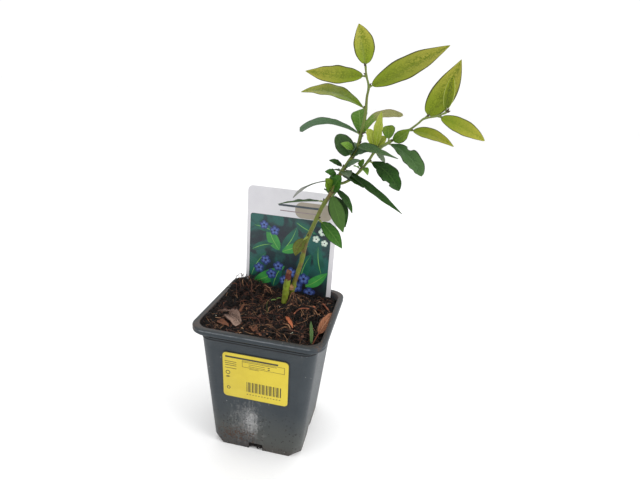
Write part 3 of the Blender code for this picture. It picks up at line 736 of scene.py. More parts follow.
# each mass with the shoot it grows from, or with the stem that its short spur leaves
masses = {
    "foliage_fork": ("leader", (
        leaf(91.7, (7, -7, 13), 12, "forest", bow=1, roll=-100, tip=0.75),
        leaf(91.7, (-3, -8, 11), 8, "green", bow=1, roll=105),
        leaf(91.7, (12, -12, -22), 10, "forest", bow=0, roll=130, fold=6),
        leaf(91.7, (12, -3, -21), 13, "dark", bow=0, roll=-64, fold=5),
        leaf(95.9, (14, -2, -15), 5.2, "dark", roll=-45),
        leaf(92.5, (-3, 25, -9), 12, "forest", bow=3, roll=10),
        # a thin leaf whose pale grey end is painted shadow, standing where a leaf's shadow lies on the card
        # behind
        leaf(101, (-31, 10, -17), 3.6, "shadowGreyEnd", bow=4, roll=40, belly=0.82, base=9.0, tip=0.7),
        leaf(103.8, (-8, -6, 4), 5, "forest", bow=1, roll=60),
        leaf(106.4, (17, -10, -5), 6, "dark", bow=1, roll=-20),
        leaf(108.1, (-8, 8, -1), 5, "dark", bow=1),
        leaf(109.2, (6, -10, -2), 8, "grey", bow=1, roll=-10),
        leaf(110.6, (11.5, -12, 8.5), 4.5, "blue", bow=1, roll=-65),
        leaf(111.3, (-9, -6, 5), 4, "dark", bow=1, roll=60),
        leaf(111.3, (40, -16, -21), 5.8, "dark", bow=0.3, roll=-25, twist=-20, tip=1.2),
    )),
    "foliage_leader_middle": ("leader", (
        leaf(119.6, (14, -14, 8), 8, "blue", roll=-50),
        leaf(119, (3.4, -5, 9), 5, "blue", bow=0.5, roll=150),
        leaf(124.2, (-9.5, -3, 5), 5, "fresh", bow=1, roll=60, base=0.9, tip=1.1),
        leaf(120.5, (-13, 12, 11.5), 11.5, "deep", bow=0.5, roll=50, belly=0.42, fold=8, base=0.3, tip=0.6),
        leaf(129.7, (26, -31, -2), 7, "deep", bow=0.5, roll=-50, twist=45, belly=0.3, sway=-3),
        leaf(126, (-14, 20, -5), 12, "forest", bow=3, roll=10),
        leaf(135.5, (-36, -5, 6.5), 6.6, "blue", bow=3.2, roll=40, belly=0.86, droop=7.5, base=0.8,
             tip=0.15,
             ripple=0.2, chew=0.12),
        leaf(133.5, (-4, 14, 16), 11, "bright", bow=1, roll=30, belly=0.82, fold=8, base=1.0, tip=0.35),
        leaf(133.5, (24, 8, 15), 6, "blush", bow=7.5, roll=-95, twist=-40, belly=0.72, fold=6, base=0.35,
             tip=0.35),
        leaf(150.8, (-43, 10, 7), 15, "youngGreen", bow=5, roll=26, belly=0.58, fold=8, base=1.0, tip=0.9),
    )),
    "foliage_leader_top": ("leader", (
        leaf(163.8, (43, 8, 26), 16, "young", bow=0, roll=-50, fold=5, base=0.6, ripple=0.25),
        leaf(170.2, (-38, 6, 0.5), 12.5, "young", bow=-0.7, roll=55, fold=5, base=0.6),
        leaf(174.6, (-6, -3, 23), 12.5, "young", bow=1, roll=95, fold=6, base=0.55, tip=0.9),
    )),
    "foliage_side_inner": ("side", (
        leaf(20.2, (1, 3, 7), 5, "fresh", bow=1, roll=15),
        leaf(20.2, (-4, -4, 3), 4, "fresh", bow=1),
        leaf(21.6, (5, -8, -2), 4, "fresh", roll=-20),
        leaf(29.5, (21, -8, -15), 11.5, "dark", bow=3, roll=-50, belly=0.56, fold=8, base=0.9, tip=0.7,
             ripple=0.6,
             chew=0.3),
    )),
    "foliage_side_middle": ("side", (
        leaf(36.7, (7, 8, -7), 4, "grey", bow=1, roll=-80),
        leaf(37.1, (-6, 2, 13), 8.5, "lime", bow=1, roll=30, tip=0.6),
        leaf(38.6, (1, -2, 23), 6.5, "lime", bow=1, roll=-125, fold=6),
        leaf(39.6, (5, 1, 8), 6, "lime", bow=1, roll=-60),
        leaf(43, (-3, 24, -6), 12, "forest", bow=3),
        leaf(47.9, (22, -14, -15), 11, "deep", bow=3.5, roll=-30, belly=0.62, fold=10, base=0.9, tip=0.55,
             ripple=0.6, chew=0.3),
        leaf(49, (-2, 8, 9), 8, "green", bow=1, roll=15, belly=0.6, tip=0.6),
        leaf(50.5, (10, -12, 9), 7, "green", bow=-1, roll=-117, fold=6),
        leaf(64, (25, -8, -6), 8.5, "youngPale", bow=1.8, roll=-40, belly=0.34, fold=8, ripple=0.12),
    )),
    "foliage_side_tip": ("side", (
        leaf(75.2, (15, 10, 32), 14, "young", bow=-1.7, roll=-50, belly=0.38, fold=6, base=0.45,
             ripple=0.2),
        leaf(82.1, (25, -12, -10), 9.5, "youngPale", bow=0.7, roll=-50, fold=8, base=0.6, tip=0.85,
             ripple=0.15),
        leaf(86.4, (0.6, -2, 19), 5.8, "ochre", bow=1, roll=-150, fold=8, sway=0.5, base=0.5, tip=0.8,
             ripple=0.15),
    )),
    "foliage_low_back": ("spur", (leaf(82.9, (-34, 12, -9), 7, "dark", bow=1),)),
    "foliage_low_right": ("spur", (leaf(70.3, (18, -6, -16), 9.5, "forest", bow=1, roll=-50, fold=8),)),
    "foliage_low_left": ("spur", (leaf(55.1, (-6, -5, -13), 8, "olive", roll=60),)),
}
blade = dict(petioleLength=2.2, petioleWidth=1.0, tipWidth=0.3, droopPower=5, thickness=0.3, across=14,
             rowLength=0.85, veins=7, slant=1.6, groove=0.2, sideGroove=0.10, quilt=0.06, roughness=0.48,
             underRoughness=0.6)

# colours at the foot and tip of the upper side, of mottle, vein, margin and underside, then the
# strength of the mottle and of the vein lines, and where foot turns to tip if not as usual
usualTurn = (0.05, 0.85)
tones = {
    "young": ((110, 128, 8), (146, 143, 50), (88, 102, 0), (98, 114, 2), (56, 56, 16), (132, 140, 58), 1.0,
              0.45),
    "youngPale": ((112, 128, 14), (150, 148, 48), (96, 116, 4), (104, 122, 10), (56, 56, 16),
                  (134, 144, 62), 0.45, 0.35),
    "ochre": ((84, 102, 0), (126, 136, 10), (62, 76, 0), (120, 134, 20), (176, 186, 96), (104, 116, 12),
              1.0, 0.5),
    "youngGreen": ((92, 118, 8), (140, 142, 40), (78, 102, 0), (92, 112, 4), (54, 58, 12), (106, 126, 4),
                   0.8, 0.4),
    "lime": ((124, 142, 30), (154, 164, 60), (104, 126, 18), (170, 178, 92), (172, 178, 96), (138, 154, 80),
             0.4, 0.5),
    "bright": ((62, 104, 18), (84, 126, 34), (50, 92, 14), (136, 168, 92), (58, 94, 20), (100, 142, 72),
               0.4, 0.6),
    "green": ((70, 104, 14), (104, 128, 30), (56, 88, 8), (120, 142, 58), (44, 66, 12), (98, 126, 62), 0.6,
              0.5),
    "fresh": ((78, 122, 24), (104, 144, 46), (60, 104, 16), (144, 174, 92), (140, 170, 88), (108, 142, 76),
              0.4, 0.6),
    "forest": ((34, 78, 10), (50, 98, 22), (24, 60, 6), (84, 122, 52), (30, 58, 12), (62, 94, 36), 0.6,
               0.55),
    "deep": ((42, 76, 28), (62, 92, 46), (30, 60, 20), (76, 104, 62), (26, 48, 16), (78, 100, 72), 0.6,
             0.45),
    "dark": ((16, 50, 4), (32, 72, 10), (10, 36, 2), (58, 90, 34), (20, 42, 8), (68, 94, 52), 0.6, 0.5),
    "olive": ((64, 80, 14), (76, 88, 22), (68, 48, 16), (98, 106, 42), (72, 58, 22), (92, 104, 48), 0.9,
              0.5),
    "blue": ((54, 82, 44), (76, 104, 74), (54, 80, 52), (100, 124, 96), (34, 58, 28), (88, 112, 86), 0.5,
             0.5),
    "grey": ((60, 84, 46), (92, 106, 84), (64, 82, 56), (108, 124, 92), (50, 64, 38), (98, 112, 88), 0.5,
             0.5),
    # the next tone's pale grey end is painted shadow, standing where a leaf's shadow lies on the card
    # behind
    "shadowGreyEnd": ((42, 62, 28), (146, 148, 142), (88, 92, 80), (112, 116, 104), (70, 80, 62), (116, 122, 106),
               0.3, 0.4,
               (0.55, 0.75)),
    "blush": ((66, 114, 14), (138, 138, 88), (116, 110, 60), (158, 156, 104), (112, 80, 54), (134, 140, 84),
              0.4, 0.35,
              (0.3, 0.55)),
}


# The source's width of a blade at a share of its length.
def leafWidth(shape, share):
    belly = shape["belly"]
    if share < belly:
        swell = math.sin(math.pi / 2 * share / belly) ** shape["base"]
    else:
        swell = max(0, math.cos(math.pi / 2 * (share - belly) / (1 - belly))) ** shape["tip"]
    narrowest = blade["petioleWidth"] + (blade["tipWidth"] - blade["petioleWidth"]) * share
    return narrowest + (shape["width"] - narrowest) * swell


# Centre, heading and facing of a leaf at a share of its whole length, as in the source.
def leafSpine(root, shape, share):
    reach, droop, power = shape["reach"], shape["droop"], blade["droopPower"]
    along = reach.normalized()
    rise = (up - up.dot(along) * along).normalized()
    middle = root + reach / 2 + 2 * shape["bow"] * rise + 2 * shape["sway"] * rise.cross(along)
    tip = root + reach
    centre = root * (1 - share) ** 2 + middle * 2 * share * (1 - share) + tip * share ** 2
    centre -= rise * droop * share ** power
    heading = 2 * ((middle - root) * (1 - share) + (tip - middle) * share)
    heading -= rise * droop * power * share ** (power - 1)
    heading.normalize()
    face = (rise - rise.dot(heading) * heading).normalized()
    face.rotate(Matrix.Rotation(-math.radians(shape["roll"] + shape["twist"] * share), 3, heading))
    return centre, heading, face


# A mesh that can take the leaves' map and shade.
def newLeafMesh():
    bm = bmesh.new()
    return bm, bm.loops.layers.uv.new("leafMap"), bm.verts.layers.float.new("leafShade")


# One blade with sunk veins, a rippled margin and true thickness, joined into bm.
def growLeaf(bm, root, shape, upperIndex, underIndex, seed, stalk=None, crumple=0.0):
    length = shape["reach"].length
    stalk = (blade["petioleLength"] if stalk is None else stalk) / length
    rows = max(16, round(length / blade["rowLength"]))
    columns = blade["across"]
    fold = math.radians(shape["fold"])
    spines = [leafSpine(root, shape, stalk + (1 - stalk) * row / rows) for row in range(rows + 1)]
    offset = Vector((seed * 3.7, seed * 1.3, seed * 7.1))

    def place(column, row):
        centre, heading, face = spines[row]
        share, s = row / rows, 2 * column / columns - 1
        a = abs(s)
        half = leafWidth(shape, share) / 2
        if shape["chew"]:
            bite = noise.noise(Vector((share * 6.5, 3.0 if s > 0 else 9.0, seed * 1.7)))
            half *= 1 - shape["chew"] * smoothStep(bite, 0.0, 0.35) * smoothStep(share, 0.1, 0.3)
        order = share * blade["veins"] - blade["slant"] * a
        off = abs(order % 1 - 0.5)
        inside = min(1, 5 * a) * (1 - a ** 3) * min(1, half / 2)
        relief = -blade["groove"] * math.exp(-(a * half / 0.45) ** 2) * min(1, half / 2) * (1 - 0.7 * share)
        relief -= blade["sideGroove"] * max(0, 1 - off / 0.17) * inside
        relief += blade["quilt"] * math.sin(fullTurn * off) * inside
        waves = math.sin(fullTurn * (share * (3 if s > 0 else 3.6) + seed * 0.37)) * a * a
        relief += shape["ripple"] * waves * math.sin(math.pi * share) * min(1, half / 3)
        relief += 0.05 * half * noise.noise(Vector((share * 3, s, seed * 2.3)))
        lift = half * math.sin(fold) * a ** 1.15
        spot = centre + face.cross(heading) * half * math.cos(fold) * s + face * (lift + relief)
        if crumple:
            broad, fine = noise.noise_vector(spot / 5 + offset), noise.noise_vector(spot / 1.9 + offset)
            spot += crumple * (broad + 0.55 * fine)
        return spot

    def placeUnder(column, row):
        inner = 0 < column < columns and 0 < row < rows
        return place(column, row) - spines[row][2] * (blade["thickness"] if inner else 0)

    part, uvLayer, shadeLayer = newLeafMesh()
    tint(placeGrid(part, columns, rows, place, uvLayer), upperIndex)
    tint(placeGrid(part, columns, rows, placeUnder, uvLayer), underIndex)
    bmesh.ops.remove_doubles(part, verts=part.verts, dist=weld)
    bmesh.ops.recalc_face_normals(part, faces=part.faces)
    shade = random.Random(seed).uniform(0.0, 1.0)
    for vertex in part.verts:
        vertex[shadeLayer] = shade
    mesh = meshFrom(part, "leafPart")
    bm.from_mesh(mesh)
    bpy.data.meshes.remove(mesh)


def leafMaterial(name, foot, tip, mottle, vein, margin, mottling, lineShare, roughness, turn=usualTurn):
    look = newLook(name, 0.22, foot)
    uv = look.add("UVMap", uv_map="leafMap").outputs[0]
    parts = look.use(veinGroup, UV=uv, Count=float(blade["veins"]), Slant=blade["slant"])
    along, across = parts["Along"], parts["Across"]
    blotch, fine = look.noise(620.0, 5.0, 0.7), look.noise(1300.0, 3.0, 0.6)
    look.layer(look.fade(along, *turn), tip)
    spots = look.times(look.fade(blotch, 0.5, 0.62), look.fade(across, 0.1, 0.8, 1.0, 0.1), mottling)
    look.layer(spots, mottle)
    # a bent net of small dark cells towards the midrib
    swirl = look.add("TexNoise", {"Vector": look.spot, "Scale": 700.0}).outputs["Color"]
    bent = look.add("Mix", {0: 0.004, 4: look.spot, 5: swirl}, data_type="VECTOR").outputs[1]
    netting = look.times(look.fade(look.cracks(bent, 520.0), 0.03, 0.16, 1.0, 0.0),
                         look.fade(across, 0.1, 0.75, 1.0, 0.0), mottling)
    look.layer(netting, mottle, 0.85)
    look.layer(look.fade(fine, 0.5, 0.78, 0.0, 0.35), mottle)
    net = look.cracks(look.spot, 820.0)
    look.layer(look.fade(net, 0.0, 0.12, 0.22, 0.0), vein)
    lines = look.calc("MAXIMUM", parts["Midrib"], look.times(parts["Veins"], 0.55))
    look.layer(lines, vein, lineShare)
    look.layer(parts["Margin"], margin, 0.9)
    own = look.add("Attribute", attribute_name="leafShade").outputs["Fac"]
    look.colour = look.add("HueSaturation", {"Hue": 0.5, "Saturation": 1.0, "Fac": 1.0,
                                             "Color": look.colour,
                                             "Value": look.fade(own, 0.0, 1.0, 0.94, 1.06)}).outputs[0]
    height = look.calc("ADD", look.fade(net, 0.0, 0.25), look.times(fine, 0.5))
    return look.finish(look.fade(fine, 0.3, 0.7, roughness - 0.07, roughness + 0.08),
                       look.calc("SUBTRACT", height, lines), 0.3, 0.00012)


leafMaterials = {}
for tone, (foot, tip, mottle, vein, margin, under, mottling, lineShare, *turn) in tones.items():
    leafMaterials[tone] = leafMaterial("leaf_" + tone, foot, tip, mottle, vein, margin, mottling, lineShare,
                                       blade["roughness"], *turn)
    deeper = [0.88 * c for c in under]
    paler = [min(255, 1.14 * c) for c in under]
    leafMaterials[tone + "Under"] = leafMaterial("leafUnder_" + tone, under, under, deeper, paler, deeper,
                                                 0.4, 0.8,
                                                 blade["underRoughness"])


# Every leaf with its mass, its root, the stem place it grows from, and its shoot. A low leaf's
# stalk comes out of the stem's side, over towards the leaf.
def leafSites():
    sites = []
    for massName, (growth, shapes) in masses.items():
        route, taper = (side, sideTaper) if growth == "side" else (leader, leaderTaper)
        for shape in shapes:
            at, reach = shape["at"], shape["reach"]
            stemPlace = root = between(route, at)
            if growth == "spur":
                heading = headingAlong(route, at)
                outward = (reach - reach.dot(heading) * heading).normalized()
                root = stemPlace + outward * (between(taper, at) + shoots["spurReach"])
            sites.append((massName, root, shape, stemPlace, route, taper))
    return sites


sites = leafSites()


def buildFoliage():
    for massName in masses:
        bm = newLeafMesh()[0]
        used = []
        for number, (owner, root, shape, *_) in enumerate(sites):
            if owner == massName:
                keys = (shape["tone"], shape["tone"] + "Under")
                used += [key for key in keys if key not in used]
                growLeaf(bm, root, shape, *[used.index(key) for key in keys], number + 1)
        finishPiece(bm, massName.replace("foliage", "leaves"), [leafMaterials[key] for key in used],
                    [massName], turnOut=False)


buildFoliage()
print("leaves built:", len(sites))


def barkMaterial(name, low, high, blush, blushShare):
    look = newLook(name, 0.4, low)
    z = look.split(look.spot)[2]
    streaks = look.noise(1.0, 4.0, 0.6, place=look.place((1500, 1500, 130)))
    patches, grain = look.noise(120.0, 4.0, 0.6), look.noise(2400.0, 2.0)
    look.layer(look.fade(z, 0.10, 0.235), high)
    look.layer(look.times(look.fade(patches, 0.46, 0.66, 0.0, blushShare),
                          look.fade(z, 0.175, 0.215, 1.0, 0.25)), blush)
    look.layer(look.fade(streaks, 0.5, 0.7, 0.0, 0.4), (70, 64, 30))
    dots = look.use(specksGroup, Vector=look.spot, Scale=900.0, Size=0.2, Share=0.12)["Mask"]
    look.layer(dots, (164, 152, 104), 0.5)
    return look.finish(look.fade(grain, 0.3, 0.7, 0.45, 0.65),
                       look.calc("ADD", streaks, look.times(dots, 0.6)),
                       0.5, 0.0003)


barkOlive = barkMaterial("oliveBark", (98, 108, 28), (92, 108, 38), (96, 64, 38), 0.8)
barkGreen = barkMaterial("greenShoot", (122, 138, 46), (104, 118, 56), (104, 96, 50), 0.4)
barkStump = barkMaterial("stumpBark", (116, 136, 28), (110, 120, 36), (84, 70, 30), 0.45)
deadWood = strandMaterial("deadWood", (80, 37, 27), (38, 18, 15), 0.85)
cutWood = strandMaterial("cutWood", (118, 76, 56), (74, 42, 32), 0.85)
knobSkin = strandMaterial("knobSkin", (164, 124, 84), (112, 78, 50), 0.8)
budSkin = strandMaterial("budSkin", (66, 54, 28), (44, 30, 20), 0.55)


# A stem with ridges, swollen nodes and leaf scars. A scar is (distance, direction, size).
def buildShoot(name, route, taper, nodes, material, replaced, seed, scars=()):
    length = route[-1][0]
    count = round(length / shoots["spacing"])
    distances = [length * i / count for i in range(count + 1)]
    places = [between(route, distance) for distance in distances]
    radii = []
    for distance in distances:
        swell = sum(shoots["nodeSwell"] * math.exp(-((distance - at) / shoots["nodeReach"]) ** 2)
                    for at in nodes)
        radii.append(between(taper, distance) + min(swell, shoots["nodeLimit"]))
    radii[-1] *= 0.55

    def relief(angle, row):
        distance = distances[row]
        ridges = shoots["ridge"] * math.sin(5 * angle + distance * 0.06)
        lumps = 0.09 * noise.noise(Vector((math.cos(angle) * 1.4, math.sin(angle) * 1.4,
                                           distance / 3.2 + seed)))
        return 1 + ridges + lumps + sum(
            size * math.exp(-((distance - at) / 2.2) ** 2) * max(0, math.cos(angle - direction)) ** 2
            for at, direction, size in scars)

    bm = bmesh.new()
    growTube(bm, places, radii, shoots["sides"], relief)
    if route is leader:
        flattenFoot(bm, places[0], radii[0] * 1.2)
    finishPiece(bm, name, [material], replaced, 50)


# The pruned stem: green below, dead and split at its cut top.
def buildStump():
    length, count = shoots["stumpLength"], shoots["stumpRows"]
    places = [between(stump, length * i / count) for i in range(count + 1)]
    radii = [between(stumpTaper, length * i / count) for i in range(count + 1)]
    radii[-1] *= 0.93

    def relief(angle, row):
        bumps = 0.16 * noise.noise(Vector((math.cos(angle) * 1.5, math.sin(angle) * 1.5, row / 6)))
        shrunk = 0.08 * smoothStep(row / count, 0.68, 0.8)
        return 1 + bumps - shrunk + 0.03 * math.sin(4 * angle)

    bm = bmesh.new()
    growTube(bm, places, radii, 20, relief)
    flattenFoot(bm, places[0], radii[0] * 1.25)
    lid = [face for face in bm.faces
           if len(face.verts) > 6 and face.calc_center_median().z > shoots["lidAbove"]]
    for vertex in lid[0].verts:
        vertex.co.z += 1.1 * noise.noise(vertex.co * 0.9)
    poked = bmesh.ops.poke(bm, faces=lid)
    for vertex in poked["verts"]:
        vertex.co.z -= 0.7
    for face in bm.faces:
        centre = face.calc_center_median()
        ragged = 1.4 * noise.noise(Vector((centre.x, centre.y, 0)) * 0.8)
        if face in poked["faces"] or centre.z > shoots["cutFrom"] + noise.noise(centre):
            face.material_index = 2
        elif centre.z > shoots["deadFrom"] + ragged:
            face.material_index = 1
    finishPiece(bm, "pruned_stump", [barkStump, deadWood, cutWood], ["stump"], 50)


def buildPetioles():
    bm = bmesh.new()
    for _, root, shape, stemPlace, *_ in sites:
        end = blade["petioleLength"] / shape["reach"].length
        shares = (0.3, 0.7) if (root - stemPlace).length > 0.5 else ()
        places = [stemPlace.lerp(root, share) for share in shares]
        places += [leafSpine(root, shape, end * share)[0] for share in (0, 0.3, 0.6, 1.0, 1.4)]
        big = min(1, shape["width"] / 9)
        radii = [0.62 * big + 0.1] * (len(places) - 3) + [0.5 * big + 0.1, 0.42 * big + 0.06, 0.2]
        growTube(bm, places, radii, 8)
    finishPiece(bm, "leaf_stalks", [barkGreen], sharpAngle=60)


# A small scaly bud in the angle above each leaf and one at each shoot's tip, a cut stub and a knob.
def buildBuds():
    bm = bmesh.new()
    rng = random.Random(21)
    buds = []
    for _, root, shape, stemPlace, route, taper in sites:
        stem = headingAlong(route, shape["at"])
        outward = shape["reach"] - shape["reach"].dot(stem) * stem
        if outward.length > 0.5:
            outward.normalize()
            place = stemPlace + stem * 1.1 + outward * (between(taper, shape["at"]) * 0.85)
            buds.append((place, (outward * 0.8 + stem).normalized(), rng.uniform(0.45, 0.7)))
    for route in (leader, side):
        buds.append((route[-1][1], headingAlong(route, route[-1][0] - 1), 0.7))
    start = between(leader, shoots["stubAt"])
    growTube(bm, [start + Vector(offset) for offset in shoots["stub"]], shoots["stubRadii"], 8)
    knob = between(leader, shoots["knobAt"]) + Vector(shoots["knobOffset"])
    growLump(bm, knob, shoots["knobRadius"], 0.6, 0.8, 1)
    for place, heading, size in buds:
        turn = heading.to_track_quat("Z", "Y").to_matrix().to_4x4()
        for vertex in bmesh.ops.create_uvsphere(bm, u_segments=10, v_segments=8, radius=1)["verts"]:
            x, y, z = vertex.co
            pinch = size * (1 - 0.55 * max(0, z))
            vertex.co = place + turn @ Vector((x * pinch, y * 0.85 * pinch, (z + 0.7) * size * 1.7))
    finishPiece(bm, "leaf_buds", [budSkin, knobSkin])


leaderNodes = [shape["at"] for _, _, shape, _, route, _ in sites if route is leader]
sideNodes = [shape["at"] for _, _, shape, _, route, _ in sites if route is side]
buildShoot("leader_shoot", leader, leaderTaper, [*leaderNodes, shoots["bareNode"]], barkOlive,
           ["trunk", "bough_leader_upper"], 3, shoots["scars"])
buildShoot("side_shoot", side, sideTaper, sideNodes, barkGreen, ["bough_side_lower", "bough_side_upper"], 8)
buildStump()
buildPetioles()
buildBuds()
print("shoots built")


# Litter on the compost: each scrap where the photo has it

# A dead leaf or chip from start to end on the ground, with its material's number.
def scrap(start, end, width, kind, crumple, lift=0.5, endLift=0.5, stalk=None, **given):
    first = Vector((*start, compostHeight(*start) + lift))
    last = Vector((*end, compostHeight(*end) + lift + endLift))
    shape = leaf(0, last - first, width, "", **{"tip": 0.9, "ripple": 0.5, **given})
    return first, shape, kind, crumple, stalk


scraps = {
    "pale_dead_leaf": (
        scrap((-40.2, -15.8), (-24.6, -11.6), 3.8, 0, 0.8, bow=1.6, roll=25, twist=40, fold=42),
        scrap((-29.0, -16.6), (-15.4, -26.4), 11.5, 0, 1.3, lift=0.9, roll=-12, twist=-30, fold=34,
              base=0.4,
              tip=0.35, belly=0.5),
    ),
    "tan_dead_leaf": (
        scrap((35.4, -32.0), (41.2, 7.4), 7.8, 1, 0.4, 1.4, 1.2, 11.5, bow=1.2, roll=-22, twist=-6, fold=18,
              belly=0.4, base=0.55, tip=0.85),
    ),
    "brown_scraps": (
        scrap((-32.1, -27.2), (-21.4, -31.8), 4.2, 2, 1.2, bow=1.0, roll=-20, twist=25, fold=20),
        scrap((-9.4, -24.2), (-2.6, -31.6), 6.5, 2, 1.6, bow=1.0, roll=15, twist=-30, fold=12),
        scrap((-22.4, -10.7), (-22.6, 3.0), 2.6, 2, 0.8, bow=1.2, roll=-20, twist=20, fold=20),
        scrap((9.9, -5.4), (18.8, -18.2), 2.7, 3, 0.4, bow=1.0, roll=-12, twist=15, fold=10),
        scrap((-4.0, -33.0), (3.0, -35.5), 3.0, 2, 1.0, bow=0.8, twist=20, fold=15),
        scrap((29.0, 12.5), (34.5, 8.0), 3.6, 2, 1.0, bow=0.9, roll=20, twist=20, fold=20),
    ),
    "green_blades": (
        scrap((34.6, -32.0), (28.2, -5.0), 2.7, 4, 0.2, lift=0.9, bow=1.6, roll=-28, twist=10, fold=16,
              belly=0.4),
        scrap((-6.7, 10.5), (-2.2, 12.8), 1.3, 5, 0.2, bow=0.8, fold=12),
        scrap((-3.2, 14.2), (0.8, 16.6), 1.3, 5, 0.2, bow=0.8, fold=12),
    ),
}
# name, then foot, tip, mottle, vein and margin
litterTones = (
    ("paleDeadLeaf", (100, 78, 69), (136, 112, 100), (42, 30, 26), (156, 132, 118), (58, 42, 36)),
    ("tanDeadLeaf", (118, 70, 44), (142, 88, 58), (84, 46, 28), (178, 130, 98), (62, 36, 26)),
    ("brownScrap", (96, 58, 40), (112, 70, 48), (60, 34, 26), (130, 88, 62), (50, 30, 24)),
    ("orangeChip", (158, 84, 52), (172, 98, 64), (124, 60, 38), (184, 120, 86), (96, 50, 34)),
    ("greenBlade", (54, 84, 40), (84, 112, 60), (44, 70, 30), (112, 138, 84), (110, 136, 84)),
    ("paleGreenBit", (112, 138, 66), (128, 150, 80), (92, 116, 52), (146, 166, 104), (100, 122, 64)),
)
litter = dict(
    stalkRadii=(0.5, 0.42, 0.4, 0.4, 0.42, 0.45, 0.5, 0.3), stalkKind=3, knob=(25.9, 14.4),
    rootlets=(26, 12, 12, 12),
    sticks=(  # points on the ground, radius, kind
        (((15.1, -2.6), (16.6, 2.4), (19.0, 6.4), (23.5, 9.3)), 0.55, 0),
        (((31.4, 21.6), (35.6, 15.8), (39.0, 9.4)), 0.62, 0),
        (((-27.5, 12.9), (-21.0, 14.6), (-14.5, 14.9)), 0.6, 1),
        (((-17.7, -17.3), (-12.6, -16.2), (-7.8, -16.1)), 0.6, 1),
        (((26.1, 24.0), (28.0, 28.0), (30.3, 31.0)), 0.6, 1),
        (((-7.7, 9.8), (-6.8, 4.0), (-3.4, -4.7)), 0.22, 2),
        (((12.0, 22.0), (15.5, 18.0), (17.0, 12.0), (16.0, 8.5)), 0.3, 3),
        (((9.0, 24.0), (12.5, 20.5), (13.0, 16.0)), 0.28, 3),
        (((20.0, -12.0), (24.0, -7.0), (26.0, -1.0)), 0.2, 3),
    ),
    stickTones=(("orangeStick", (166, 100, 72), (112, 62, 44)), ("brownStick", (92, 54, 38), (56, 32, 24)),
                ("greenRootlet", (84, 96, 40), (60, 70, 30)),
                ("paleRootlet", (150, 112, 80), (108, 72, 50))),
)


def buildLitter():
    materials = [leafMaterial(*tone, 0.9, 0.7, 0.7) for tone in litterTones]
    seed = 200
    for name, pieces in scraps.items():
        bm = newLeafMesh()[0]
        for start, shape, kind, crumple, stalk in pieces:
            seed += 1
            growLeaf(bm, start, shape, kind, kind, seed, stalk or 1.0, crumple)
            if stalk:
                share = stalk / shape["reach"].length
                places = [leafSpine(start, shape, share * step / 6)[0] for step in range(8)]
                growTube(bm, places, litter["stalkRadii"], 8, index=litter["stalkKind"])
        finishPiece(bm, name, materials, sharpAngle=60, turnOut=False)

    bm = bmesh.new()
    for points, radius, kind in litter["sticks"]:
        route = smoothRoute([(x, y, compostHeight(x, y) + radius + 0.8) for x, y in points], 6)
        radii = [radius * (0.75 + 0.3 * noise.noise(Vector((i / 3, radius, kind))))
                 for i in range(len(route))]
        radii[0] *= 0.6
        radii[-1] *= 0.6
        growTube(bm, [place for _, place in route], radii, 8,
                 lambda angle, row: 1 + 0.15 * noise.noise(Vector((angle, row / 2, 0))), kind)
    growLump(bm, Vector((*litter["knob"], compostHeight(*litter["knob"]) + 0.9)), 1.2, 0.9, 1.1)
    finishPiece(bm, "litter_sticks", [strandMaterial(*tone) for tone in litter["stickTones"]],
                sharpAngle=50)


# Black rootlets that hang in the notch of each side of the foot.
def buildNotchRoots():
    rng = random.Random(8)
    bm = bmesh.new()
    top, steps = pot["notchHeight"] + 0.1, 5
    for turn, count in enumerate(litter["rootlets"]):
        spin = turnAbout("Z", 90 * turn)
        for _ in range(count):
            x = rng.uniform(-4.6, 4.6)
            y = -outerHalf(3) + rng.uniform(0.2, 1.1)
            low = rng.uniform(0.4, 3.2)
            places = [spin @ Vector((x + rng.uniform(-0.35, 0.35) * step, y + rng.uniform(-0.15, 0.15),
                                     top + (low - top) * step / steps)) for step in range(steps + 1)]
            growTube(bm, places, [rng.uniform(0.12, 0.22)] * steps + [0.07], 5)
    finishPiece(bm, "foot_rootlets", [strandMaterial("blackRootlet", (22, 17, 14), (12, 10, 9))])


buildLitter()
buildNotchRoots()
print("litter built")


# Card and label: plain plates, with generic prints and a painted leaf shadow as thin shapes on them

card = dict(width=69.0, top=176.4, foot=86.0, thickness=0.7, back=36.8, corner=4.0, rim=0.12,
            panel=(-32.0, 31.0, 91.0, 155.3), panelCorner=2.2,
            # place, length, angle, width, ink and curve of each blade
            blades=((-30, 104, 24, 62, 9, 1, 1.5), (-28, 99, 30, 34, 10, 0, -1.5),
                    (-8, 128, 22, 118, 9, 0, 1.2),
                    (-6, 128, 24, 62, 9.5, 1, -1.5), (-6, 127, 22, 20, 7.5, 0, 1.0),
                    (10, 104, 26, 74, 10, 1, 1.8),
                    (14, 101, 22, 40, 8, 0, -1.0), (26, 113, 24, 100, 8, 1, 1.2),
                    (-29, 146, 20, -14, 6, 1, 1.0),
                    (4, 152, 18, -24, 6, 1, -0.8), (-30, 126, 18, 22, 6, 1, 1.0),
                    (-12, 97, 20, 70, 8, 1, 1.0)),
            # place, size and inks of the loose flowers
            flowers=((-21, 147, 3.8, (0, 1, 3)), (-12.5, 143.5, 4.2, (0, 1, 3)),
                     (24.5, 147, 3.4, (2, 4, 3)),
                     (20, 141, 3.0, (2, 4, 3)), (26.5, 138.5, 2.8, (2, 4, 3))),
            # extent, height proud of the card, thickness, corner and ink of the header's shapes
            # the first shape, a taupe patch, is a painted shadow of a leaf on the card
            header=((2.5, 31.0, 155.6, 168.0, 0.02, 0.03, 5.5, 0),
                    (-10.5, 21.0, 163.4, 165.0, 0.035, 0.02, 0.6, 1),
                    (-9.0, 18.5, 159.6, 160.3, 0.035, 0.02, 0.3, 2)),
            # the back's band, and its rules with their right ends in turn
            band=(-31.0, 31.0, 164.0, 171.0), rules=12, ruleLeft=-28.0, ruleEnds=(22.0, 22.0, 22.0, 4.0),
            ruleLow=156.0, ruleHeight=0.7, ruleStep=4.2)
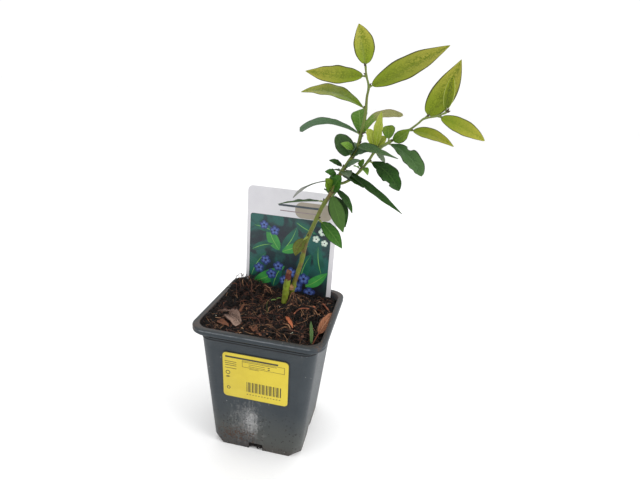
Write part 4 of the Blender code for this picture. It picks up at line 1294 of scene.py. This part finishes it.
label = dict(width=46.0, height=37.0, middle=63.5, thickness=0.4, corner=3.0, standOff=0.3, border=0.5,
             ink=0.04, inkProud=0.03, ticks=12, tickStep=2.05,
             stripes=20, stripeStep=1.22, stripeWidths=(0.5, 0.9, 0.35, 0.7), printLeft=-6.0,
             # left, right, middle and height of each rule, then the extents of the frame's sides
             rules=((-20.6, 15.5, 14.9, 1.3), (-8.5, 14.5, 12.6, 0.3), (-4.0, 2.5, 7.6, 0.3),
                    (-4.5, 6.5, 9.6, 0.3), (-4.5, 6.5, 11.1, 0.3), (8.5, 10.0, 9.6, 0.6),
                    (8.5, 10.0, 11.1, 0.6)),
             frame=((-9, 20, 13.4, 13.65), (-9, 20, 8.4, 8.65), (-9, -8.75, 8.4, 13.65),
                    (19.75, 20, 8.4, 13.65)),
             rings=((-19.0, 2.0, 1.6), (-18.8, -10.6, 1.3)), ringWidth=0.45)

# two close tints and the scale of their patches, then how far they mix and the roughness
inks = {
    "cardStock": ((205, 204, 208), (196, 195, 200), 60.0),
    "inkLeaf": ((58, 140, 64), (34, 108, 52), 160.0), "inkLeafFar": ((22, 88, 72), (14, 60, 54), 140.0),
    "inkVein": ((120, 176, 84), (92, 146, 70), 200.0), "inkBlue": ((50, 66, 122), (34, 44, 92), 260.0),
    "inkBlueMid": ((84, 106, 168), (64, 86, 146), 260.0),
    "inkPale": ((188, 206, 192), (160, 186, 172), 260.0),
    "inkCentre": ((24, 28, 56), (40, 44, 70), 260.0), "inkWhite": ((222, 232, 220), (200, 216, 202), 260.0),
    # the taupe ink paints a leaf's shadow on the card
    "paintedLeafShadow": ((150, 142, 128), (140, 132, 118), 120.0), "inkSlate": ((52, 62, 70), (66, 76, 84), 200.0),
    "inkMauve": ((128, 112, 116), (140, 124, 128), 200.0), "inkBand": ((64, 118, 82), (52, 104, 72), 90.0),
    "inkGrey": ((120, 122, 126), (104, 106, 112), 200.0), "labelEdge": ((54, 52, 26), (40, 40, 24), 300.0),
    "labelYellow": ((200, 180, 46), (190, 168, 38), 90.0, 0.6, 0.45),
    "labelInk": ((38, 34, 18), (50, 46, 22), 300.0),
}


def bevelEdges(bm, edges, offset, segments):
    return bmesh.ops.bevel(bm, geom=list(edges), offset=offset, offset_type="OFFSET", segments=segments,
                           profile=0.5, affect="EDGES", material=-1)["faces"]


def thicken(bm, faces, depth):
    raised = vertsOf(bmesh.ops.extrude_face_region(bm, geom=faces)["geom"])
    bmesh.ops.translate(bm, vec=(0, depth, 0), verts=raised)
    return raised


# A thin upright plate whose face is at y = front, with round corners.
def plate(bm, left, right, low, high, front, depth, corner=0, index=0, roundFoot=True, rim=0.0):
    middle = Vector(((left + right) / 2, front + depth / 2, (low + high) / 2))
    made = bmesh.ops.create_cube(bm, size=1, matrix=Matrix.Translation(middle)
                                 @ Matrix.Diagonal((right - left, depth, high - low, 1)))["verts"]
    if corner:
        edges = {edge for vertex in made for edge in vertex.link_edges}
        corners = [edge for edge in edges if abs(edge.verts[0].co.y - edge.verts[1].co.y) > depth / 2
                   and (roundFoot or edge.verts[0].co.z > middle.z)]
        made = [vertex for face in bevelEdges(bm, corners, corner, 8) for vertex in face.verts]
    faces = tint(made, index)
    if rim:
        bevelEdges(bm, {edge for face in faces for edge in face.edges
                        if len(edge.link_faces) == 2 and edge.calc_face_angle() > 1.2}, rim, 2)


def disc(bm, x, z, radius, front, index, segments, depth=0.02):
    upright = Matrix.Translation((x, front + depth / 2, z)) @ turnAbout("X", 90, 4)
    made = bmesh.ops.create_cone(bm, cap_ends=True, segments=segments, radius1=radius, radius2=radius,
                                 depth=depth, matrix=upright)["verts"]
    tint(made, index)


# A flat leaf-shaped blade that grows from (x, z) at an angle from level.
def printBlade(bm, x, z, length, angle, width, front, depth, index, curve=0.0):
    rows, turn = 14, math.radians(angle)

    def place(column, row):
        share = row / rows
        half = width / 2 * math.sin(math.pi * share ** 0.8) ** 0.9 if 0 < row < rows else 0.02
        along, across = length * share, half * (column - 1) + curve * math.sin(math.pi * share)
        return Vector((x + along * math.cos(turn) - across * math.sin(turn), front,
                       z + along * math.sin(turn) + across * math.cos(turn)))

    made = placeGrid(bm, 2, rows, place)
    faces = list({face for vertex in made for face in vertex.link_faces})
    tint(made + thicken(bm, faces, depth), index)


# Printed ink, and the taupe painted leaf shadow: two close tints in soft patches under a thin gloss.
def printMaterial(name, colour, other, scale, share=0.6, roughness=0.32):
    look = newLook(name, 0.5, colour)
    grain = look.noise(3000.0, 2.0)
    look.layer(look.fade(look.noise(scale), 0.38, 0.66, 0.0, share), other)
    look.layer(look.fade(grain, 0.55, 0.8, 0.0, 0.12), (30, 30, 30))
    return look.finish(look.fade(grain, 0.3, 0.7, roughness - 0.05, roughness + 0.08), grain, 0.06, 0.0001)


# The picture's ground: soft teal and night-blue shapes, out of focus.
def panelMaterial():
    look = newLook("pictureGround", 0.5, (20, 40, 46))
    second = look.noise(90.0, 2.0, 0.5, 0.8, look.place(location=(0.3, 0, 0.2)))
    grain = look.noise(3000.0, 2.0)
    look.layer(look.fade(look.noise(55.0, 2.0, 0.5, 1.2), 0.42, 0.62), (28, 84, 78))
    look.layer(look.fade(second, 0.5, 0.64, 0.0, 0.7), (24, 26, 40))
    look.layer(look.fade(look.split(look.spot)[2], 0.098, 0.122, 0.75, 0.0), (26, 22, 30))
    return look.finish(look.fade(grain, 0.3, 0.7, 0.27, 0.38), grain, 0.05, 0.0001)


def finishPrint(bm, name, inkNames, replaced=()):
    materials = [panelMaterial() if ink is None else printMaterial(ink, *inks[ink]) for ink in inkNames]
    finishPiece(bm, name, materials, replaced, 40)


def buildCard():
    front, half = card["back"] - card["thickness"], card["width"] / 2
    bm = bmesh.new()
    plate(bm, -half, half, card["foot"], card["top"], front, card["thickness"], card["corner"],
          roundFoot=False,
          rim=card["rim"])
    finishPrint(bm, "picture_card", ["cardStock"], replaced=["label_card"])

    bm = bmesh.new()
    plate(bm, *card["panel"], front - 0.03, 0.05, card["panelCorner"])
    finishPrint(bm, "card_panel", [None])

    # a fan of blades from the lower left, then small five-petalled flowers over it
    bm = bmesh.new()
    for number, (x, z, length, angle, width, kind, curve) in enumerate(card["blades"]):
        layer = front - 0.05 - 0.006 * number
        printBlade(bm, x, z, length, angle, width, layer, 0.03, kind, curve)
        printBlade(bm, x, z, length * 0.94, angle, 0.5, layer - 0.003, 0.02, 2, curve)
    finishPrint(bm, "card_blades", ["inkLeaf", "inkLeafFar", "inkVein"])

    bm = bmesh.new()
    rng = random.Random(4)
    flowers = [(-24 + 5.2 * n, 116 - 1.9 * n + (4.5 if n % 2 else -4.5), rng.uniform(4.2, 5.4), (0, 1, 3))
               for n in range(9)]
    for number, (x, z, size, kinds) in enumerate([*flowers, *card["flowers"]]):
        layer = front - 0.13 - 0.008 * number
        spin = rng.uniform(0, 2)
        for petal in range(5):
            angle = spin + fullTurn * petal / 5
            # each petal has a broad part and a tint over its inner half
            for away, radius, lift, kind, segments in ((0.52, 0.42, 0, kinds[0], 18),
                                                       (0.42, 0.24, 0.003, kinds[1], 14)):
                disc(bm, x + away * size * math.cos(angle), z + away * size * math.sin(angle),
                     radius * size,
                     layer - lift, kind, segments)
        disc(bm, x, z, 0.17 * size, layer - 0.006, kinds[2], 14)
    finishPrint(bm, "card_flowers", ["inkBlue", "inkBlueMid", "inkPale", "inkCentre", "inkWhite"])

    # plain header: a taupe patch of painted leaf shadow and two rules
    bm = bmesh.new()
    for left, right, low, high, proud, depth, corner, kind in card["header"]:
        plate(bm, left, right, low, high, front - proud, depth, corner, kind)
    finishPrint(bm, "card_header", ["paintedLeafShadow", "inkSlate", "inkMauve"])

    # back: a plain band and rules, every fourth one short
    bm = bmesh.new()
    ink = card["back"] - 0.02
    plate(bm, *card["band"], ink, 0.05, 1.5)
    for row in range(card["rules"]):
        low = card["ruleLow"] - card["ruleStep"] * row
        right = card["ruleEnds"][row % len(card["ruleEnds"])]
        plate(bm, card["ruleLeft"], right, low, low + card["ruleHeight"], ink, 0.04, 0.25, 1)
    finishPrint(bm, "card_back_rules", ["inkBand", "inkGrey"])


# Leans a flat print back on to the pot's front face before it is finished.
def finishLabel(bm, name, ink, replaced=()):
    bmesh.ops.rotate(bm, cent=(0, 0, 0), verts=bm.verts, matrix=Matrix.Rotation(wallSlope, 3, "X"))
    away = (label["standOff"] + label["thickness"] / 2) / math.cos(wallSlope)
    bmesh.ops.translate(bm, vec=(0, -outerHalf(label["middle"]) - away, label["middle"]), verts=bm.verts)
    finishPrint(bm, name, [ink], replaced)


def buildLabel():
    front, wide, high = -label["thickness"] / 2, label["width"] / 2, label["height"] / 2
    border, thick = label["border"], label["ink"]
    bm = bmesh.new()
    plate(bm, -wide, wide, -high, high, front + 0.1, label["thickness"] + label["standOff"] - 0.15,
          label["corner"], rim=0.08)
    finishLabel(bm, "label_edge", "labelEdge")
    bm = bmesh.new()
    plate(bm, border - wide, wide - border, border - high, high - border, front, 0.15,
          label["corner"] - 0.3,
          rim=0.04)
    finishLabel(bm, "front_label", "labelYellow", ["sticker"])

    # rules, a frame, stripes, ticks, rings and a small leaf
    bm = bmesh.new()
    ink = front - label["inkProud"]
    rules = [(-21, -13, 13.6 - 1.9 * row, 0.42) for row in (1.3, 2.1, 2.9, 4.1)]
    plates = [(left, right, middle - height / 2, middle + height / 2)
              for left, right, middle, height in (*rules, *label["rules"])]
    plates += label["frame"]
    for stripe in range(label["stripes"]):
        left = label["printLeft"] + label["stripeStep"] * stripe
        plates.append((left, left + label["stripeWidths"][stripe * 5 % 4], -11.6, -3.4))
    for tick in range(label["ticks"]):
        left = label["printLeft"] + label["tickStep"] * tick
        plates.append((left, left + 1, -14.0, -13.5))
    for extent in plates:
        plate(bm, *extent, ink, thick)
    for x, z, outer in label["rings"]:
        upright = Matrix.Translation((x, ink, z)) @ turnAbout("X", 90, 4)
        edges = set()
        for radius in (outer, outer - label["ringWidth"]):
            ring = bmesh.ops.create_circle(bm, cap_ends=False, segments=28, radius=radius,
                                           matrix=upright)["verts"]
            edges |= {edge for vertex in ring for edge in vertex.link_edges}
        thicken(bm, bmesh.ops.bridge_loops(bm, edges=list(edges))["faces"], thick)
    printBlade(bm, -20.6, -1.6, 3.4, 8, 1.0, ink, thick, 0)
    finishLabel(bm, "label_rules", "labelInk")


buildCard()
buildLabel()
print("card and label built")


# Floor, light and camera

studio = dict(
    floorColour=(0.96, 0.96, 0.96, 1), floorHalf=6.0, floorRoughness=0.8, world=1.05,
    lamps=(  # place and size in metres, power in watts
        ((0.80, -0.30, 0.45), 0.5, 4.0),
        ((-0.60, -0.75, 0.95), 0.6, 1.5),
        ((0.1, 0.65, 1.0), 0.8, 1.5),
    ),
    aim=(0.03, 0, 0.14),
    lens=26.0, sensor=36.0, place=(0.08044, -0.28701, 0.25207), yaw=-10.092, pitch=18.737, roll=4.454,
)


def buildStudio():
    bm = bmesh.new()
    bmesh.ops.create_grid(bm, x_segments=1, y_segments=1, size=studio["floorHalf"])
    floor = newObject("floor", meshFrom(bm, "floor"))
    look = newLook("paleFloor", 0.2, (0, 0, 0))
    look.shader.inputs["Base Color"].default_value = studio["floorColour"]
    look.shader.inputs["Roughness"].default_value = studio["floorRoughness"]
    floor.data.materials.append(look.material)
    for number, (place, size, power) in enumerate(studio["lamps"]):
        lamp = bpy.data.lights.new(f"soft_{number}", "AREA")
        lamp.shape = "DISK"
        lamp.size = size
        lamp.energy = power
        holder = newObject(f"soft_{number}", lamp)
        holder.location = place
        holder.rotation_euler = (Vector(studio["aim"]) - Vector(place)).to_track_quat("-Z", "Y").to_euler()
    world = bpy.data.worlds.new("paleStudio")
    world.use_nodes = True
    background = world.node_tree.nodes["Background"].inputs
    background["Color"].default_value = (1, 1, 1, 1)
    background["Strength"].default_value = studio["world"]
    bpy.context.scene.world = world
    bpy.context.scene.view_settings.view_transform = "Standard"


def buildCamera():
    yaw, pitch, roll = (math.radians(studio[key]) for key in ("yaw", "pitch", "roll"))
    forward = Vector((math.sin(yaw) * math.cos(pitch), math.cos(yaw) * math.cos(pitch), -math.sin(pitch)))
    level = Vector((math.cos(yaw), -math.sin(yaw), 0))
    raised = level.cross(forward)
    right = math.cos(roll) * level + math.sin(roll) * raised
    top = -math.sin(roll) * level + math.cos(roll) * raised
    lens = bpy.data.cameras.new("camera")
    lens.lens = studio["lens"]
    lens.sensor_width = studio["sensor"]
    lens.clip_start = 0.01
    camera = newObject("camera", lens)
    turned = Matrix((right, top, -forward)).transposed().to_4x4()
    camera.matrix_world = Matrix.Translation(studio["place"]) @ turned
    bpy.context.scene.camera = camera


buildStudio()
buildCamera()
print("studio ready")
